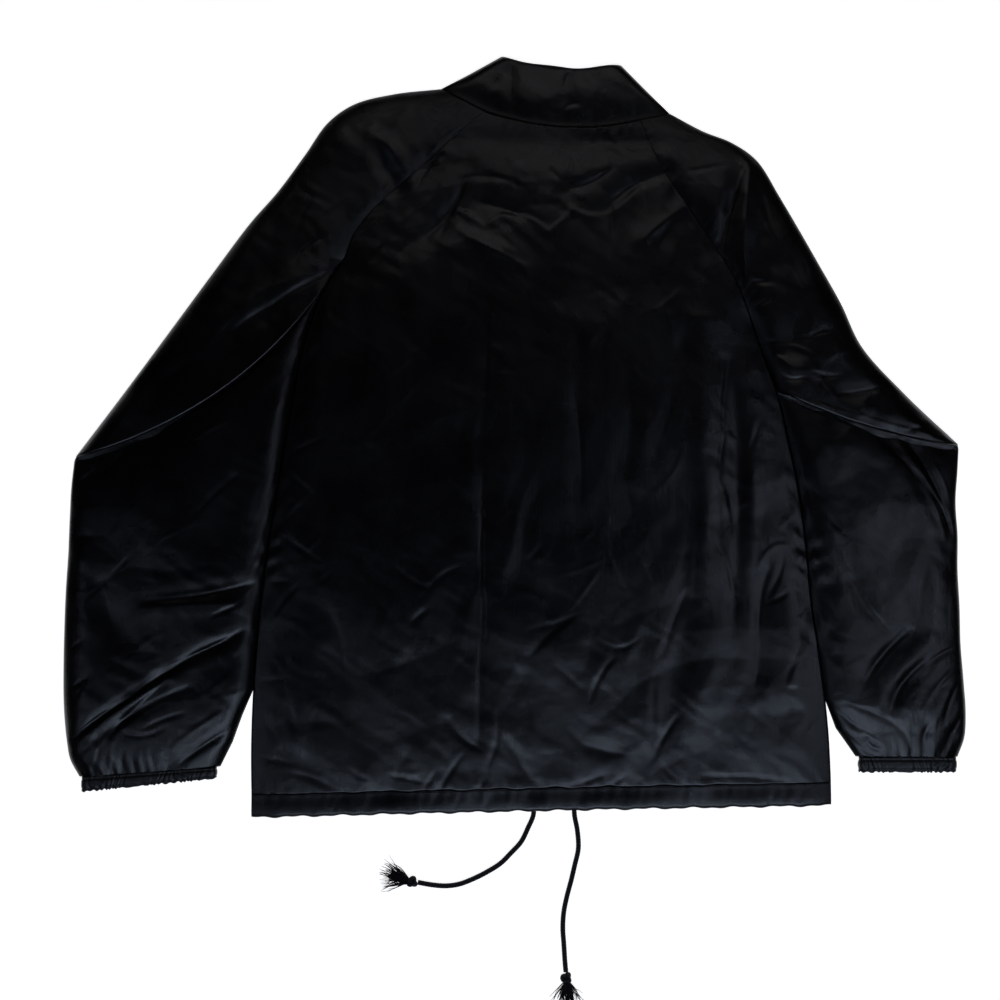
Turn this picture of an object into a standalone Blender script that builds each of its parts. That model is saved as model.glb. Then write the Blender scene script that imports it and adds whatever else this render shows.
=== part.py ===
"""Coach jacket in black nylon, laid face down: the back is up and the fronts lie on the floor.

Every table below is in layout millimetres: x runs to the right and y runs down over the square metre
that the jacket is laid out on, and heights are millimetres above the floor. layout_to_frame turns them
into the part's own frame, whose origin is on the floor under the middle of the garment, +X to the right
(the wearer's right sleeve), +Y to the collar and +Z up.
"""

import math
from collections import namedtuple

import bmesh
import bpy
import numpy as np
from mathutils import Vector

MM = 0.001
CENTRE_X = 514.5
CENTRE_Y = 437.0

CLOTH = 1.2
COLLAR_CLOTH = 1.8
CASING_CLOTH = 1.6
CUFF_CLOTH = 1.6
SEAM_GAP = 0.3
SIDE_GAP = 0.6

# Heights of the outer face of the upper layer, and how far in from an edge it takes to get there.
SEAM_HEIGHT = 6.2
SIDE_SEAM_HEIGHT = 3.4
BODY_LOFT = 6.8
LOWEST_BACK = 4.5
LOWEST_OVER_PLACKET = 5.9
EDGE_HEIGHT = 2.6
EDGE_ROLL = 30.0
SIDE_ROLL = 18.0
HAIRPIN = 2.2

FRONT_CENTRE_X = 554.0
# Button stand of each front: where it begins to rise, where it is up, its free edge and its underside.
Stand = namedtuple("Stand", "rise_x raised_x free_x lift")
LEFT_STAND = Stand(537, 541, 569, 1.1)
RIGHT_STAND = Stand(579, 571, 539, 3.0)
SNAP_COUNT = 5
FIRST_SNAP_Y = 206.0
LAST_SNAP_Y = 770.0
SNAP_RADIUS = 7.0
SNAP_THICK = 0.8

HEM_DEPTH = 22.0
FRONT_HEM_RISE = 8.0
HEM_HEIGHT = 7.5
HEM_PUCKERS = 24
HEM_PUCKER_HEIGHT = 0.9
CUFF_DEPTH = 15.0
CUFF_HEIGHT = 9.0
CUFF_GATHERS = 18
CUFF_GATHER_HEIGHT = 1.1
CUFF_UNDER_GATHER = 0.35
# How much further each cuff hangs down at its inner end.
LEFT_CUFF_SLANT = -4.0
RIGHT_CUFF_SLANT = 0.0

CORD_DIAMETER = 5.0
CORD_REST = 2.6

BACK_COLUMNS = 32
SLEEVE_TOP_COLUMNS = 13
SLEEVE_UNDER_COLUMNS = 5
FRONT_COLUMNS = 6

# The line where the back meets a sleeve: the raglan seam down to the underarm, then the side of the body.
EdgePoint = namedtuple("EdgePoint", "y x")
LEFT_EDGE = [
    EdgePoint(110.5, 485),
    EdgePoint(138, 452),
    EdgePoint(166, 421),
    EdgePoint(190, 393),
    EdgePoint(213, 369),
    EdgePoint(235, 353),
    EdgePoint(257, 344),
    EdgePoint(290, 323),
    EdgePoint(336, 306),
    EdgePoint(405, 291),
    EdgePoint(475, 279),
    EdgePoint(540, 268),
    EdgePoint(610, 259),
    EdgePoint(680, 253),
    EdgePoint(740, 250.5),
    EdgePoint(820, 251),
]
RIGHT_EDGE = [
    EdgePoint(119, 640),
    EdgePoint(149, 653),
    EdgePoint(181, 671),
    EdgePoint(212, 692),
    EdgePoint(243, 714),
    EdgePoint(276, 734),
    EdgePoint(311, 749),
    EdgePoint(357, 765),
    EdgePoint(396, 779),
    EdgePoint(443, 790),
    EdgePoint(492, 800),
    EdgePoint(545, 807),
    EdgePoint(605, 813),
    EdgePoint(665, 822),
    EdgePoint(728, 829),
    EdgePoint(810, 833),
]
LEFT_UNDERARM = 257.0
RIGHT_UNDERARM = 311.0

# A section across a sleeve: the folded outer edge, where its ends meet the body line in the upper layer
# (top_y) and in the lower one (under_y), how far its middle bows to the hem, and its height.
Section = namedtuple("Section", "outer_x outer_y top_y under_y bow loft")
LEFT_RAGLAN = [
    Section(440, 88, 110.5, 128, 0, 7),
    Section(394, 93, 138, 150, 0, 9),
    Section(352, 104, 166, 174, 0, 10),
    Section(327, 122, 190, 195, 0, 11),
    Section(305, 153, 213, 216, 0, 11),
    Section(277, 191, 235, 236, 0, 12),
    Section(249, 223, 257, 257, 0, 12),
]
LEFT_UPPER_ARM = [
    Section(249, 223, 257, 257, 0, 12),
    Section(213, 271, 260, 260, 4, 12),
    Section(168, 332, 264, 264, 14, 13),
    Section(119, 398, 268, 268, 24, 14),
    Section(75, 456, 272, 272, 30, 15),
]
LEFT_FOREARM = [
    Section(73, 461, 277, 277, 30, 6.5),
    Section(70.5, 482, 291, 291, 25, 8.5),
    Section(68.5, 515, 325, 325, 17, 10.5),
    Section(67, 552, 376, 376, 9, 11.5),
    Section(64.5, 590, 438, 438, 4, 11.5),
    Section(63, 628, 506, 506, 0, 11.5),
    Section(62.2, 665, 572, 572, 0, 12),
    Section(62.2, 697, 632, 632, 0, 13),
    Section(63.5, 722, 684, 684, 0, 14),
    Section(65.5, 741, 716, 716, 0, 14),
    Section(69, 760, 743, 743, 0, 13),
    Section(78, 777, 767, 767, 0, 10.5),
]
RIGHT_RAGLAN = [
    Section(671, 113, 119, 139, 0, 7),
    Section(703, 130, 149, 162, 0, 9),
    Section(733, 142, 181, 189, 0, 10),
    Section(758, 160, 212, 217, 0, 11),
    Section(780, 195, 243, 246, 0, 11),
    Section(800, 229, 276, 277, 0, 12),
    Section(820, 264, 311, 311, 0, 12),
]
RIGHT_UPPER_ARM = [
    Section(820, 264, 311, 311, 0, 12),
    Section(842, 303, 334, 334, 3, 12),
    Section(862, 345, 356, 356, 5, 13),
    Section(905, 393, 374, 374, 8, 14),
    Section(959, 444, 388, 388, 8, 15),
]
RIGHT_FOREARM = [
    Section(960, 449, 393, 393, 8, 6.5),
    Section(959, 470, 414, 414, 6, 9),
    Section(957, 500, 447, 447, 4, 10.5),
    Section(959, 535, 492, 492, 2, 11.5),
    Section(959, 570, 540, 540, 0, 11.5),
    Section(961, 608, 590, 590, 0, 11.5),
    Section(962, 645, 636, 636, 0, 12),
    Section(965, 682, 678, 678, 0, 13),
    Section(967, 712, 706, 706, 0, 14),
    Section(966, 736, 729, 729, 0, 13),
    Section(959, 757, 757, 757, 0, 10.5),
]
# Below the side of the body a sleeve turns in to its cuff: how far its inner edge then stands off the line.
LEFT_CUFF_TURN = [EdgePoint(690, 0), EdgePoint(716, 10), EdgePoint(743, 19), EdgePoint(767, 31)]
RIGHT_CUFF_TURN = [EdgePoint(700, 0), EdgePoint(729, 8), EdgePoint(757, 26)]

# The far ends of the level rows of the back and of the fronts, from the underarm to the hem casing.
BodyRow = namedtuple("BodyRow", "left_y right_y")
BODY_ROWS = [
    BodyRow(257, 311),
    BodyRow(303, 352),
    BodyRow(356, 395),
    BodyRow(415, 443),
    BodyRow(476, 493),
    BodyRow(536, 542),
    BodyRow(598, 595),
    BodyRow(660, 648),
    BodyRow(722, 706),
    BodyRow(765, 752),
    BodyRow(796, 784),
]
NECK_SAG = 11.5
HEM_SAG = -1.0

# A fold runs from (x1, y1) to (x2, y2) with its middle bowed sideways; it is a ridge where its height is
# above nought and a trough where it is below, and width is how far it reaches to each side.
Fold = namedtuple("Fold", "x1 y1 x2 y2 bow width height")
BACK_FOLDS = [
    Fold(455, 139, 750, 141, 3, 9, -2.2),
    Fold(480, 163, 640, 165, 4, 12, 1.6),
    Fold(485, 300, 480, 745, 3, 7, -3.2),
    Fold(466, 400, 460, 720, 0, 14, 2.2),
    Fold(506, 390, 505, 720, 0, 14, 1.8),
    Fold(577, 335, 577, 530, 0, 8, -1.8),
    Fold(729, 362, 733, 630, -8, 8, -3.2),
    Fold(706, 320, 704, 600, 0, 13, 3.2),
    Fold(752, 400, 756, 560, 0, 10, 2.6),
    Fold(750, 160, 745, 282, 3, 9, 3.6),
    Fold(738, 172, 722, 248, 0, 9, -4.2),
    Fold(380, 152, 396, 190, 0, 9, -4.2),
    Fold(374, 136, 410, 180, -6, 8, 2.6),
    Fold(357, 274, 357, 640, 4, 15, -2.4),
    Fold(326, 330, 300, 560, 3, 13, 2.6),
    Fold(322, 605, 391, 789, 8, 13, -2.4),
    Fold(362, 600, 424, 768, 8, 17, 2.6),
    Fold(690, 556, 656, 758, -6, 13, -2.4),
    Fold(718, 640, 690, 760, 0, 18, 2.2),
    Fold(765, 568, 757, 690, 0, 9, -3.0),
    Fold(790, 590, 800, 700, 0, 12, 2.4),
    Fold(262, 748, 345, 790, -4, 11, -2.0),
    Fold(427, 236, 464, 186, 4, 8, -2.6),
    Fold(444, 246, 500, 252, 0, 12, 2.2),
    Fold(403, 251, 446, 216, 0, 8, -1.6),
    Fold(458, 228, 526, 266, 0, 9, 2.2),
    Fold(479, 202, 536, 224, -4, 8, -1.6),
    Fold(606, 212, 668, 172, -8, 8, -2.0),
    Fold(569, 189, 614, 166, 3, 8, -1.6),
    Fold(640, 240, 688, 203, 0, 9, 2.0),
    Fold(450, 724, 492, 750, 3, 9, -1.6),
    Fold(508, 742, 538, 790, 0, 8, -1.6),
    Fold(570, 726, 618, 754, 4, 9, -1.6),
    Fold(575, 590, 600, 700, 0, 24, 2.2),
]
LEFT_SLEEVE_FOLDS = [
    Fold(67, 744, 226, 641, -7, 8, -4.2),
    Fold(80, 752, 170, 684, 0, 7, -2.8),
    Fold(112, 716, 190, 668, 0, 9, 2.6),
    Fold(148, 598, 258, 581, 0, 8, -3.2),
    Fold(147, 611, 246, 604, 0, 9, 2.8),
    Fold(178, 659, 244, 630, 3, 8, -2.2),
    Fold(168, 765, 233, 728, 0, 8, -2.8),
    Fold(126, 720, 190, 687, 0, 7, -2.2),
    Fold(236, 333, 342, 270, 4, 9, -2.8),
    Fold(222, 318, 320, 258, 4, 10, 2.4),
    Fold(235, 250, 190, 380, 0, 14, 1.8),
    Fold(76, 485, 116, 463, 0, 7, -1.8),
    Fold(105, 585, 120, 640, 0, 12, -2.6),
    Fold(80, 560, 92, 660, 0, 14, 2.0),
    Fold(150, 510, 170, 570, 0, 22, 1.8),
]
RIGHT_SLEEVE_FOLDS = [
    Fold(886, 436, 948, 545, -7, 8, -3.8),
    Fold(908, 440, 951, 533, -6, 7, -2.6),
    Fold(899, 448, 946, 540, -7, 7, 2.8),
    Fold(908, 634, 866, 680, 3, 9, -3.6),
    Fold(924, 660, 890, 708, 4, 9, -3.2),
    Fold(885, 690, 930, 640, 0, 9, 2.6),
    Fold(962, 692, 942, 720, 0, 8, -2.8),
    Fold(962, 716, 942, 750, 0, 8, -2.8),
    Fold(823, 694, 868, 733, 3, 8, -2.8),
    Fold(844, 733, 876, 754, 0, 7, -2.4),
    Fold(850, 568, 885, 634, 4, 9, -2.2),
    Fold(838, 395, 888, 385, 0, 8, -2.2),
    Fold(772, 366, 812, 372, 0, 9, 3.6),
    Fold(800, 386, 948, 434, 3, 9, 2.2),
    Fold(829, 514, 852, 540, 0, 8, -1.8),
    Fold(803, 480, 820, 508, 0, 8, -1.8),
]
COLLAR_FOLDS = [
    Fold(511, 62, 510, 112, 0, 6, -2.2),
    Fold(520, 64, 524, 110, 0, 7, 1.4),
    Fold(571, 72, 562, 96, 0, 6, -1.6),
    Fold(548, 109, 580, 104, -4, 6, -1.2),
]
ALL_FOLDS = BACK_FOLDS + LEFT_SLEEVE_FOLDS + RIGHT_SLEEVE_FOLDS + COLLAR_FOLDS
LONG_CREASES = [357, 485, 729]

# The collar turned up: its lower edge is the neckline, and these are the ends of its free upper edge.
COLLAR_LEFT_NECK = (440, 88)
COLLAR_RIGHT_NECK = (671, 113)
COLLAR_LEFT_TIP = (501, 56.5)
COLLAR_RIGHT_TIP = (622, 65)
COLLAR_TOP_DIP = 7.0
COLLAR_GAP = 0.7
COLLAR_LOFT = 8.6
COLLAR_EDGE_ROLL = 14.0
COLLAR_POINTS = ((546, 138), (562, 140))
FRONT_NECK_Y = 192.0
COLLAR_ROWS = 4
COLLAR_BACK_COLUMNS = 14

# The drawcord's two ends come out of the hem casing on each side of the front centre.
LEFT_CORD = [
    (533.7, 804.6),
    (533.6, 815),
    (528, 829),
    (521, 843),
    (511, 854),
    (501, 864),
    (487, 873),
    (473, 880),
    (458, 885.5),
    (446, 887),
    (432, 886),
    (417.5, 883.5),
]
RIGHT_CORD = [
    (574.3, 804.6),
    (574.6, 815),
    (577.5, 831),
    (578.5, 850),
    (575, 866),
    (571.5, 881),
    (567, 898),
    (564, 913),
    (563, 930),
    (564, 945),
    (565, 961),
    (566, 973),
]
CORD_POINT_STEP = 12.0

# The knot is turned round the cord's own line: how far along each of its rings is, and how wide.
KnotRing = namedtuple("KnotRing", "reach radius")
KNOT_RINGS = [
    KnotRing(0.0, 1.6),
    KnotRing(1.2, 4.2),
    KnotRing(3.4, 5.4),
    KnotRing(6.0, 5.6),
    KnotRing(8.6, 5.0),
    KnotRing(10.2, 3.9),
    KnotRing(11.0, 3.6),
]
KNOT_SIDES = 12
KNOT_HEIGHT = 5.95
# Each strand of the frayed end grows out of the knot in two legs, which spread, sink and get thinner.
TuftLeg = namedtuple("TuftLeg", "portion sink sink_by_height shrink")
TUFT_LEGS = [TuftLeg(0.5, -0.10, 0.05, 0.8), TuftLeg(0.5, -0.07, 0.03, 0.45)]
TUFT_LENGTH = 27.0
TUFT_SPREAD = 0.63
TUFT_LOWEST = 0.3


def layout_to_frame(x, y, z):
    """Metres in the part's frame from layout millimetres: x is centred, y is turned round, z is kept."""
    return np.stack(np.broadcast_arrays(x - CENTRE_X, CENTRE_Y - y, z), axis=-1) * MM


def smooth_rows(rows, steps):
    """Rows on a Catmull-Rom curve through a table's rows, with `steps` intervals for each of its gaps."""
    table = np.array(rows, float)
    ends = np.vstack([2 * table[0] - table[1], table, 2 * table[-1] - table[-2]])
    t = np.linspace(0, 1, steps, endpoint=False)[:, None]
    found = []
    for p0, p1, p2, p3 in zip(ends, ends[1:], ends[2:], ends[3:]):
        bend = 2 * p0 - 5 * p1 + 4 * p2 - p3
        twist = 3 * p1 - p0 - 3 * p2 + p3
        found.append(p1 + 0.5 * ((p2 - p0) * t + bend * t**2 + twist * t**3))
    return np.vstack(found + [table[-1:]])


def edge_x(points, y):
    """x of a body line at each y, read from the smooth curve through the line's points."""
    curve = smooth_rows(points, 8)
    return np.interp(y, curve[:, 0], curve[:, 1])


def relief(x, y):
    """Height of all folds: each is a smooth hump across its bowed line that dies away past its ends."""
    total = np.zeros(np.broadcast(x, y).shape)
    for fold in ALL_FOLDS:
        run = np.array([fold.x2 - fold.x1, fold.y2 - fold.y1], float)
        length = np.hypot(*run)
        along, across = run / length, np.array([-run[1], run[0]]) / length
        dx, dy = x - fold.x1, y - fold.y1
        s = (dx * along[0] + dy * along[1]) / length
        inside = np.clip(s, 0, 1)
        bowed = fold.bow * 4 * inside * (1 - inside)
        beside = dx * across[0] + dy * across[1] - bowed
        beyond = (s - inside) * length
        taper = 0.55 + 0.45 * np.sin(math.pi * inside)
        total += fold.height * taper * np.exp(-(beside**2 + beyond**2) / fold.width**2)
    return total


def ease(value):
    """0 below 0, 1 above 1 and a smooth step between."""
    t = np.clip(value, 0, 1)
    return t * t * (3 - 2 * t)


def joined(y, underarm):
    """1 along the raglan seam, 0 along the side of the body, with a smooth change at the underarm."""
    return 1 - ease((y - underarm + 18) / 34)


def seam_height(y, underarm):
    """Height of the upper layer where back and sleeve meet: raised on the raglan, low at the side."""
    return SIDE_SEAM_HEIGHT + (SEAM_HEIGHT - SIDE_SEAM_HEIGHT) * joined(y, underarm)


def keep_above(z, lowest):
    """z where it is well above the lowest height, and softly levelled out to it below."""
    soft = 0.8
    return lowest + soft * np.logaddexp(0, (z - lowest) / soft)


def grid_normals(points, ring):
    """Unit normals of a grid of points from its differences along rows and columns."""
    down = np.gradient(points, axis=0)
    if ring:
        along = np.roll(points, -1, axis=1) - np.roll(points, 1, axis=1)
    else:
        along = np.gradient(points, axis=1)
    normals = np.cross(down, along)
    return normals / np.linalg.norm(normals, axis=-1, keepdims=True)


def kept_in_section(row_points, row_normals):
    """Normals of an end row turned into its own section, so that the rim follows the cut edge.

    At each point the section runs level along the longer of the steps to its two neighbours.
    """
    steps = np.diff(row_points, axis=0)[:, :2]
    before = np.vstack([steps[:1], steps])
    after = np.vstack([steps, steps[-1:]])
    longer = np.linalg.norm(after, axis=1) > np.linalg.norm(before, axis=1)
    level = np.where(longer[:, None], after, before)
    level = level / np.linalg.norm(level, axis=1, keepdims=True)
    across = np.stack([-level[:, 1], level[:, 0], np.zeros(len(level))], axis=-1)
    kept = row_normals - across * (row_normals * across).sum(axis=-1, keepdims=True)
    return kept / np.linalg.norm(kept, axis=-1, keepdims=True)


def wall_mesh(name, outer, thickness, top_cell, ring=False, plumb_sides=True, plumb_ends=False):
    """A closed cloth wall: the outer grid, an inner grid moved in by the thickness, and rims between.

    top_cell is a row and column where the outer face looks up, which settles the side that is outside.
    plumb_sides stands the rims along the first and last columns upright, and plumb_ends does the same
    for the first and last rows.
    """
    normals = grid_normals(outer, ring)
    if normals[top_cell][2] < 0:
        normals = -normals
    if plumb_sides and not ring:
        for column in (0, -1):
            facing = np.sign(normals[:, column, 2])
            normals[:, column] = np.stack([0 * facing, 0 * facing, facing], axis=-1)
    for row in (0, -1):
        if plumb_ends:
            normals[row] = (0, 0, 1)
        else:
            normals[row] = kept_in_section(outer[row], normals[row])
    inner = outer - normals * thickness * MM
    return two_skin_object(name, outer, inner, ring)


def two_skin_object(name, outer, inner, ring=False):
    """Object whose mesh is two grids of points joined along their borders."""
    rows, columns = outer.shape[:2]
    count = rows * columns
    points = np.concatenate([outer.reshape(-1, 3), inner.reshape(-1, 3)])
    last = columns if ring else columns - 1
    faces = []
    for r in range(rows - 1):
        for c in range(last):
            a, b = r * columns + c, r * columns + (c + 1) % columns
            d, e = a + columns, b + columns
            faces.append((a, b, e, d))
            faces.append((a + count, d + count, e + count, b + count))
    for c in range(last):
        for r in (0, rows - 1):
            a, b = r * columns + c, r * columns + (c + 1) % columns
            faces.append((a, b, b + count, a + count))
    if not ring:
        for r in range(rows - 1):
            for c in (0, columns - 1):
                a, d = r * columns + c, (r + 1) * columns + c
                faces.append((a, d, d + count, a + count))
    return mesh_object(name, points, faces)


def mesh_object(name, points, faces):
    """Object from points and faces, with its faces turned to point out and shaded smooth."""
    mesh = bpy.data.meshes.new(name)
    mesh.from_pydata([tuple(p) for p in points], [], faces)
    work = bmesh.new()
    work.from_mesh(mesh)
    bmesh.ops.recalc_face_normals(work, faces=work.faces)
    work.to_mesh(mesh)
    work.free()
    mesh.shade_smooth()
    mesh.set_sharp_from_angle(angle=math.radians(50))
    thing = bpy.data.objects.new(name, mesh)
    bpy.context.scene.collection.objects.link(thing)
    return thing


def plain_material(name, colour, roughness):
    """Principled material of one colour, all of it non-metal."""
    material = bpy.data.materials.new(name)
    material.use_nodes = True
    shader = material.node_tree.nodes["Principled BSDF"]
    shader.inputs["Base Color"].default_value = (*colour, 1)
    shader.inputs["Roughness"].default_value = roughness
    shader.inputs["Metallic"].default_value = 0
    material.diffuse_color = (*colour, 1)
    return material


def row_ends():
    """Left and right ends (x, y) of each level row of the back, from the neckline to the hem casing."""
    left_y = np.concatenate([raglan_sections(LEFT_RAGLAN)[:, 2], body_rows()[1:, 0]])
    right_y = np.concatenate([raglan_sections(RIGHT_RAGLAN)[:, 2], body_rows()[1:, 1]])
    return left_y, right_y


def raglan_sections(table):
    return smooth_rows(table, 2)


def body_rows():
    return smooth_rows(BODY_ROWS, 2)


def body_gap(y, underarm):
    """Half of the gap in x between back and sleeve: a seam's above the underarm, wider at the side."""
    return SIDE_GAP - (SIDE_GAP - 0.85 * SEAM_GAP) * joined(y, underarm)


def crowded(count, centres, left, right):
    """Fractions from 0 to 1 that lie closer together near the centres and near both ends."""
    x = np.linspace(left, right, 400)
    weight = np.ones_like(x)
    for centre in centres:
        weight += 1.6 * np.exp(-(((x - centre) / 16) ** 2))
    weight += 2.2 * np.exp(-(((x - left) / 14) ** 2)) + 2.2 * np.exp(-(((x - right) / 14) ** 2))
    total = np.concatenate([[0], np.cumsum((weight[1:] + weight[:-1]) / 2)])
    return np.interp(np.linspace(0, 1, count + 1), total / total[-1], (x - left) / (right - left))


def back_top(left_x, left_y, right_x, right_y, share, row_share):
    """Layout x, y and height of the back's face at a share of the way across each row."""
    x = left_x + (right_x - left_x) * share
    y = left_y + (right_y - left_y) * share
    sag = NECK_SAG * (1 - ease(row_share / 0.3)) + HEM_SAG * ease((row_share - 0.8) / 0.2)
    y = y + sag * 4 * share * (1 - share)
    near_left = (x - left_x) / SIDE_ROLL
    near_right = (right_x - x) / SIDE_ROLL
    left_low = seam_height(left_y, LEFT_UNDERARM)
    right_low = seam_height(right_y, RIGHT_UNDERARM)
    drop = (BODY_LOFT - left_low) * np.exp(-near_left) + (BODY_LOFT - right_low) * np.exp(-near_right)
    left_free = joined(left_y, LEFT_UNDERARM)
    right_free = joined(right_y, RIGHT_UNDERARM)
    held = (1 - (1 - left_free) * np.exp(-(near_left**2) * 2)) * (
        1 - (1 - right_free) * np.exp(-(near_right**2) * 2)
    )
    height = BODY_LOFT - drop + held * relief(x, y)
    over_placket = np.exp(-(((x - FRONT_CENTRE_X) / 34) ** 4))
    lowest = LOWEST_BACK + (LOWEST_OVER_PLACKET - LOWEST_BACK) * over_placket
    lowest = lowest - (lowest - SIDE_SEAM_HEIGHT) * (1 - held)
    lowest = lowest - 1.2 * (1 - held)
    return x, y, keep_above(height, lowest)


def make_back(material):
    """Back panel: rows from the neckline to the hem casing between its two raglan seams and sides."""
    left_y, right_y = row_ends()
    left_x = edge_x(LEFT_EDGE, left_y) + body_gap(left_y, LEFT_UNDERARM)
    right_x = edge_x(RIGHT_EDGE, right_y) - body_gap(right_y, RIGHT_UNDERARM)
    share = crowded(BACK_COLUMNS, LONG_CREASES, 262, 822)[None, :]
    row_share = np.linspace(0, 1, len(left_y))[:, None]
    x, y, z = back_top(
        left_x[:, None], left_y[:, None], right_x[:, None], right_y[:, None], share, row_share
    )
    outer = layout_to_frame(x, y, z)
    back = wall_mesh("back", outer, CLOTH, (8, 12), plumb_ends=True)
    back.data.materials.append(material)
    return back


def sleeve_points(sections, edge, cuff_turn, underarm, side):
    """Outer face of a sleeve: from the seam on the upper layer, round the folded edge, to the lower seam.

    side is -1 for the sleeve on the left of the layout and 1 for the one on the right.
    """
    outer_x, outer_y, top_y, under_y, bow, loft = (column[:, None] for column in sections.T)
    turn = np.interp(top_y, [p.y for p in cuff_turn], [p.x for p in cuff_turn])
    top_x = edge_x(edge, top_y) + side * (body_gap(top_y, underarm) + turn)
    under_x = edge_x(edge, under_y) + side * (body_gap(under_y, underarm) + turn)
    width = np.hypot(top_x - outer_x, top_y - outer_y)

    step = np.arange(SLEEVE_TOP_COLUMNS + 1) / SLEEVE_TOP_COLUMNS
    share = 0.5 * (1 + np.cos(math.pi * step))[None, :]
    x, y = section_line(outer_x, outer_y, top_x, top_y, bow, share)
    from_outer = share * width
    from_seam = (1 - share) * width
    rise = np.sqrt(1 - (1 - np.clip(from_outer / EDGE_ROLL, 0, 1)) ** 2)
    free = joined(top_y, underarm)
    low = seam_height(top_y, underarm)
    height = EDGE_HEIGHT + (loft - EDGE_HEIGHT) * rise - (loft - low) * np.exp(-from_seam / SIDE_ROLL)
    held = (1 - np.exp(-((from_outer / 10) ** 2))) * (
        1 - (1 - free) * np.exp(-2 * (from_seam / SIDE_ROLL) ** 2)
    )
    gathers = cuff_gathers(sections, step[None, :])
    height = height + held * (relief(x, y) + gathers)
    lowest = EDGE_HEIGHT + (LOWEST_BACK - EDGE_HEIGHT) * rise * held
    z = np.where(share <= 0, EDGE_HEIGHT, keep_above(height, lowest - 0.4 * (1 - held)))
    top = layout_to_frame(x, y, z)

    start = HAIRPIN / width
    under_step = np.arange(SLEEVE_UNDER_COLUMNS + 1)[None, :] / SLEEVE_UNDER_COLUMNS
    share = start + (1 - start) * under_step
    x, y = section_line(outer_x, outer_y, under_x, under_y, bow, share)
    under = layout_to_frame(x, y, np.zeros_like(x))
    return np.concatenate([top, under], axis=1)


def section_line(outer_x, outer_y, inner_x, inner_y, bow, share):
    """Points across a sleeve section: a straight chord whose middle bows to the hem."""
    run_x, run_y = inner_x - outer_x, inner_y - outer_y
    length = np.hypot(run_x, run_y)
    across_x, across_y = -run_y / length, run_x / length
    towards_hem = np.sign(across_y)
    arch = bow * 4 * share * (1 - share) * towards_hem
    return outer_x + run_x * share + across_x * arch, outer_y + run_y * share + across_y * arch


def cuff_gathers(sections, step):
    """Gathers that the elastic pulls into the end of a sleeve: every other column up and down."""
    near_cuff = np.zeros((len(sections), 1))
    near_cuff[-4:, 0] = (0.5, 1.0, 1.4, 1.0)
    column = np.arange(step.shape[1])[None, :]
    return near_cuff * np.where(column % 2 == 0, 1.0, -1.0)


def make_sleeve(name, raglan, upper_arm, forearm, edge, cuff_turn, underarm, side, material):
    """Raglan sleeve: sections from the neck to the elbow fold, then from under that fold to the cuff."""
    sections = np.vstack(
        [raglan_sections(raglan), smooth_rows(upper_arm, 1)[1:], smooth_rows(forearm, 1)]
    )
    outer = sleeve_points(sections, edge, cuff_turn, underarm, side)
    sleeve = wall_mesh(name, outer, CLOTH, (10, 6))
    sleeve.data.materials.append(material)
    return outer


def make_cuff(name, sleeve_end, slant, material):
    """Elastic cuff: a flat ring as wide as the sleeve's end, gathered into even ribs all round.

    sleeve_end is the two ends (x, y) of the sleeve's last section in layout millimetres and slant is how
    much further the ring's second end hangs down.
    """
    (x0, y0), (x1, y1) = sleeve_end
    steps = 2 * CUFF_GATHERS
    share = np.linspace(0.02, 0.98, steps + 1)
    rib = np.where(np.arange(steps + 1) % 2 == 0, 1.0, -1.0)
    rows = []
    for row, drop in enumerate((SEAM_GAP, CUFF_DEPTH * 0.5, CUFF_DEPTH)):
        squeeze = 0.012 * row
        across = squeeze + (1 - 2 * squeeze) * share
        x = x0 + (x1 - x0) * across
        y = y0 + (y1 - y0) * across + drop + slant * across * drop / CUFF_DEPTH
        swell = np.sqrt(np.clip(1 - (2 * share - 1) ** 8, 0, 1))
        bulge = 1.0 if row == 1 else 0.86
        top_z = CUFF_HEIGHT * bulge * (0.55 + 0.45 * swell) + CUFF_GATHER_HEIGHT * 0.5 * rib * swell
        under_z = CUFF_UNDER_GATHER * (1 - rib[::4]) * 0.5
        top = layout_to_frame(x, y, top_z)
        under = layout_to_frame(x[::4][::-1], y[::4][::-1], under_z)
        first, last = (x[0], y[0]), (x[-1], y[-1])
        way = np.sign(x1 - x0)
        first_turn = layout_to_frame(first[0] - 1.6 * way, first[1], np.array(2.4))
        last_turn = layout_to_frame(last[0] + 1.6 * way, last[1], np.array(2.4))
        rows.append(np.concatenate([first_turn[None], top, last_turn[None], under]))
    outer = np.array(rows)
    cuff = wall_mesh(name, outer, CUFF_CLOTH, (1, 10), ring=True)
    cuff.data.materials.append(material)
    return cuff


def front_hem_y():
    """Where the fronts meet their hem casing at the front centre: a little above the back's own line."""
    share = (FRONT_CENTRE_X - LEFT_EDGE[-1].x) / (RIGHT_EDGE[-1].x - LEFT_EDGE[-1].x)
    left_y, right_y = BODY_ROWS[-1]
    return left_y + (right_y - left_y) * share - FRONT_HEM_RISE


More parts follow.
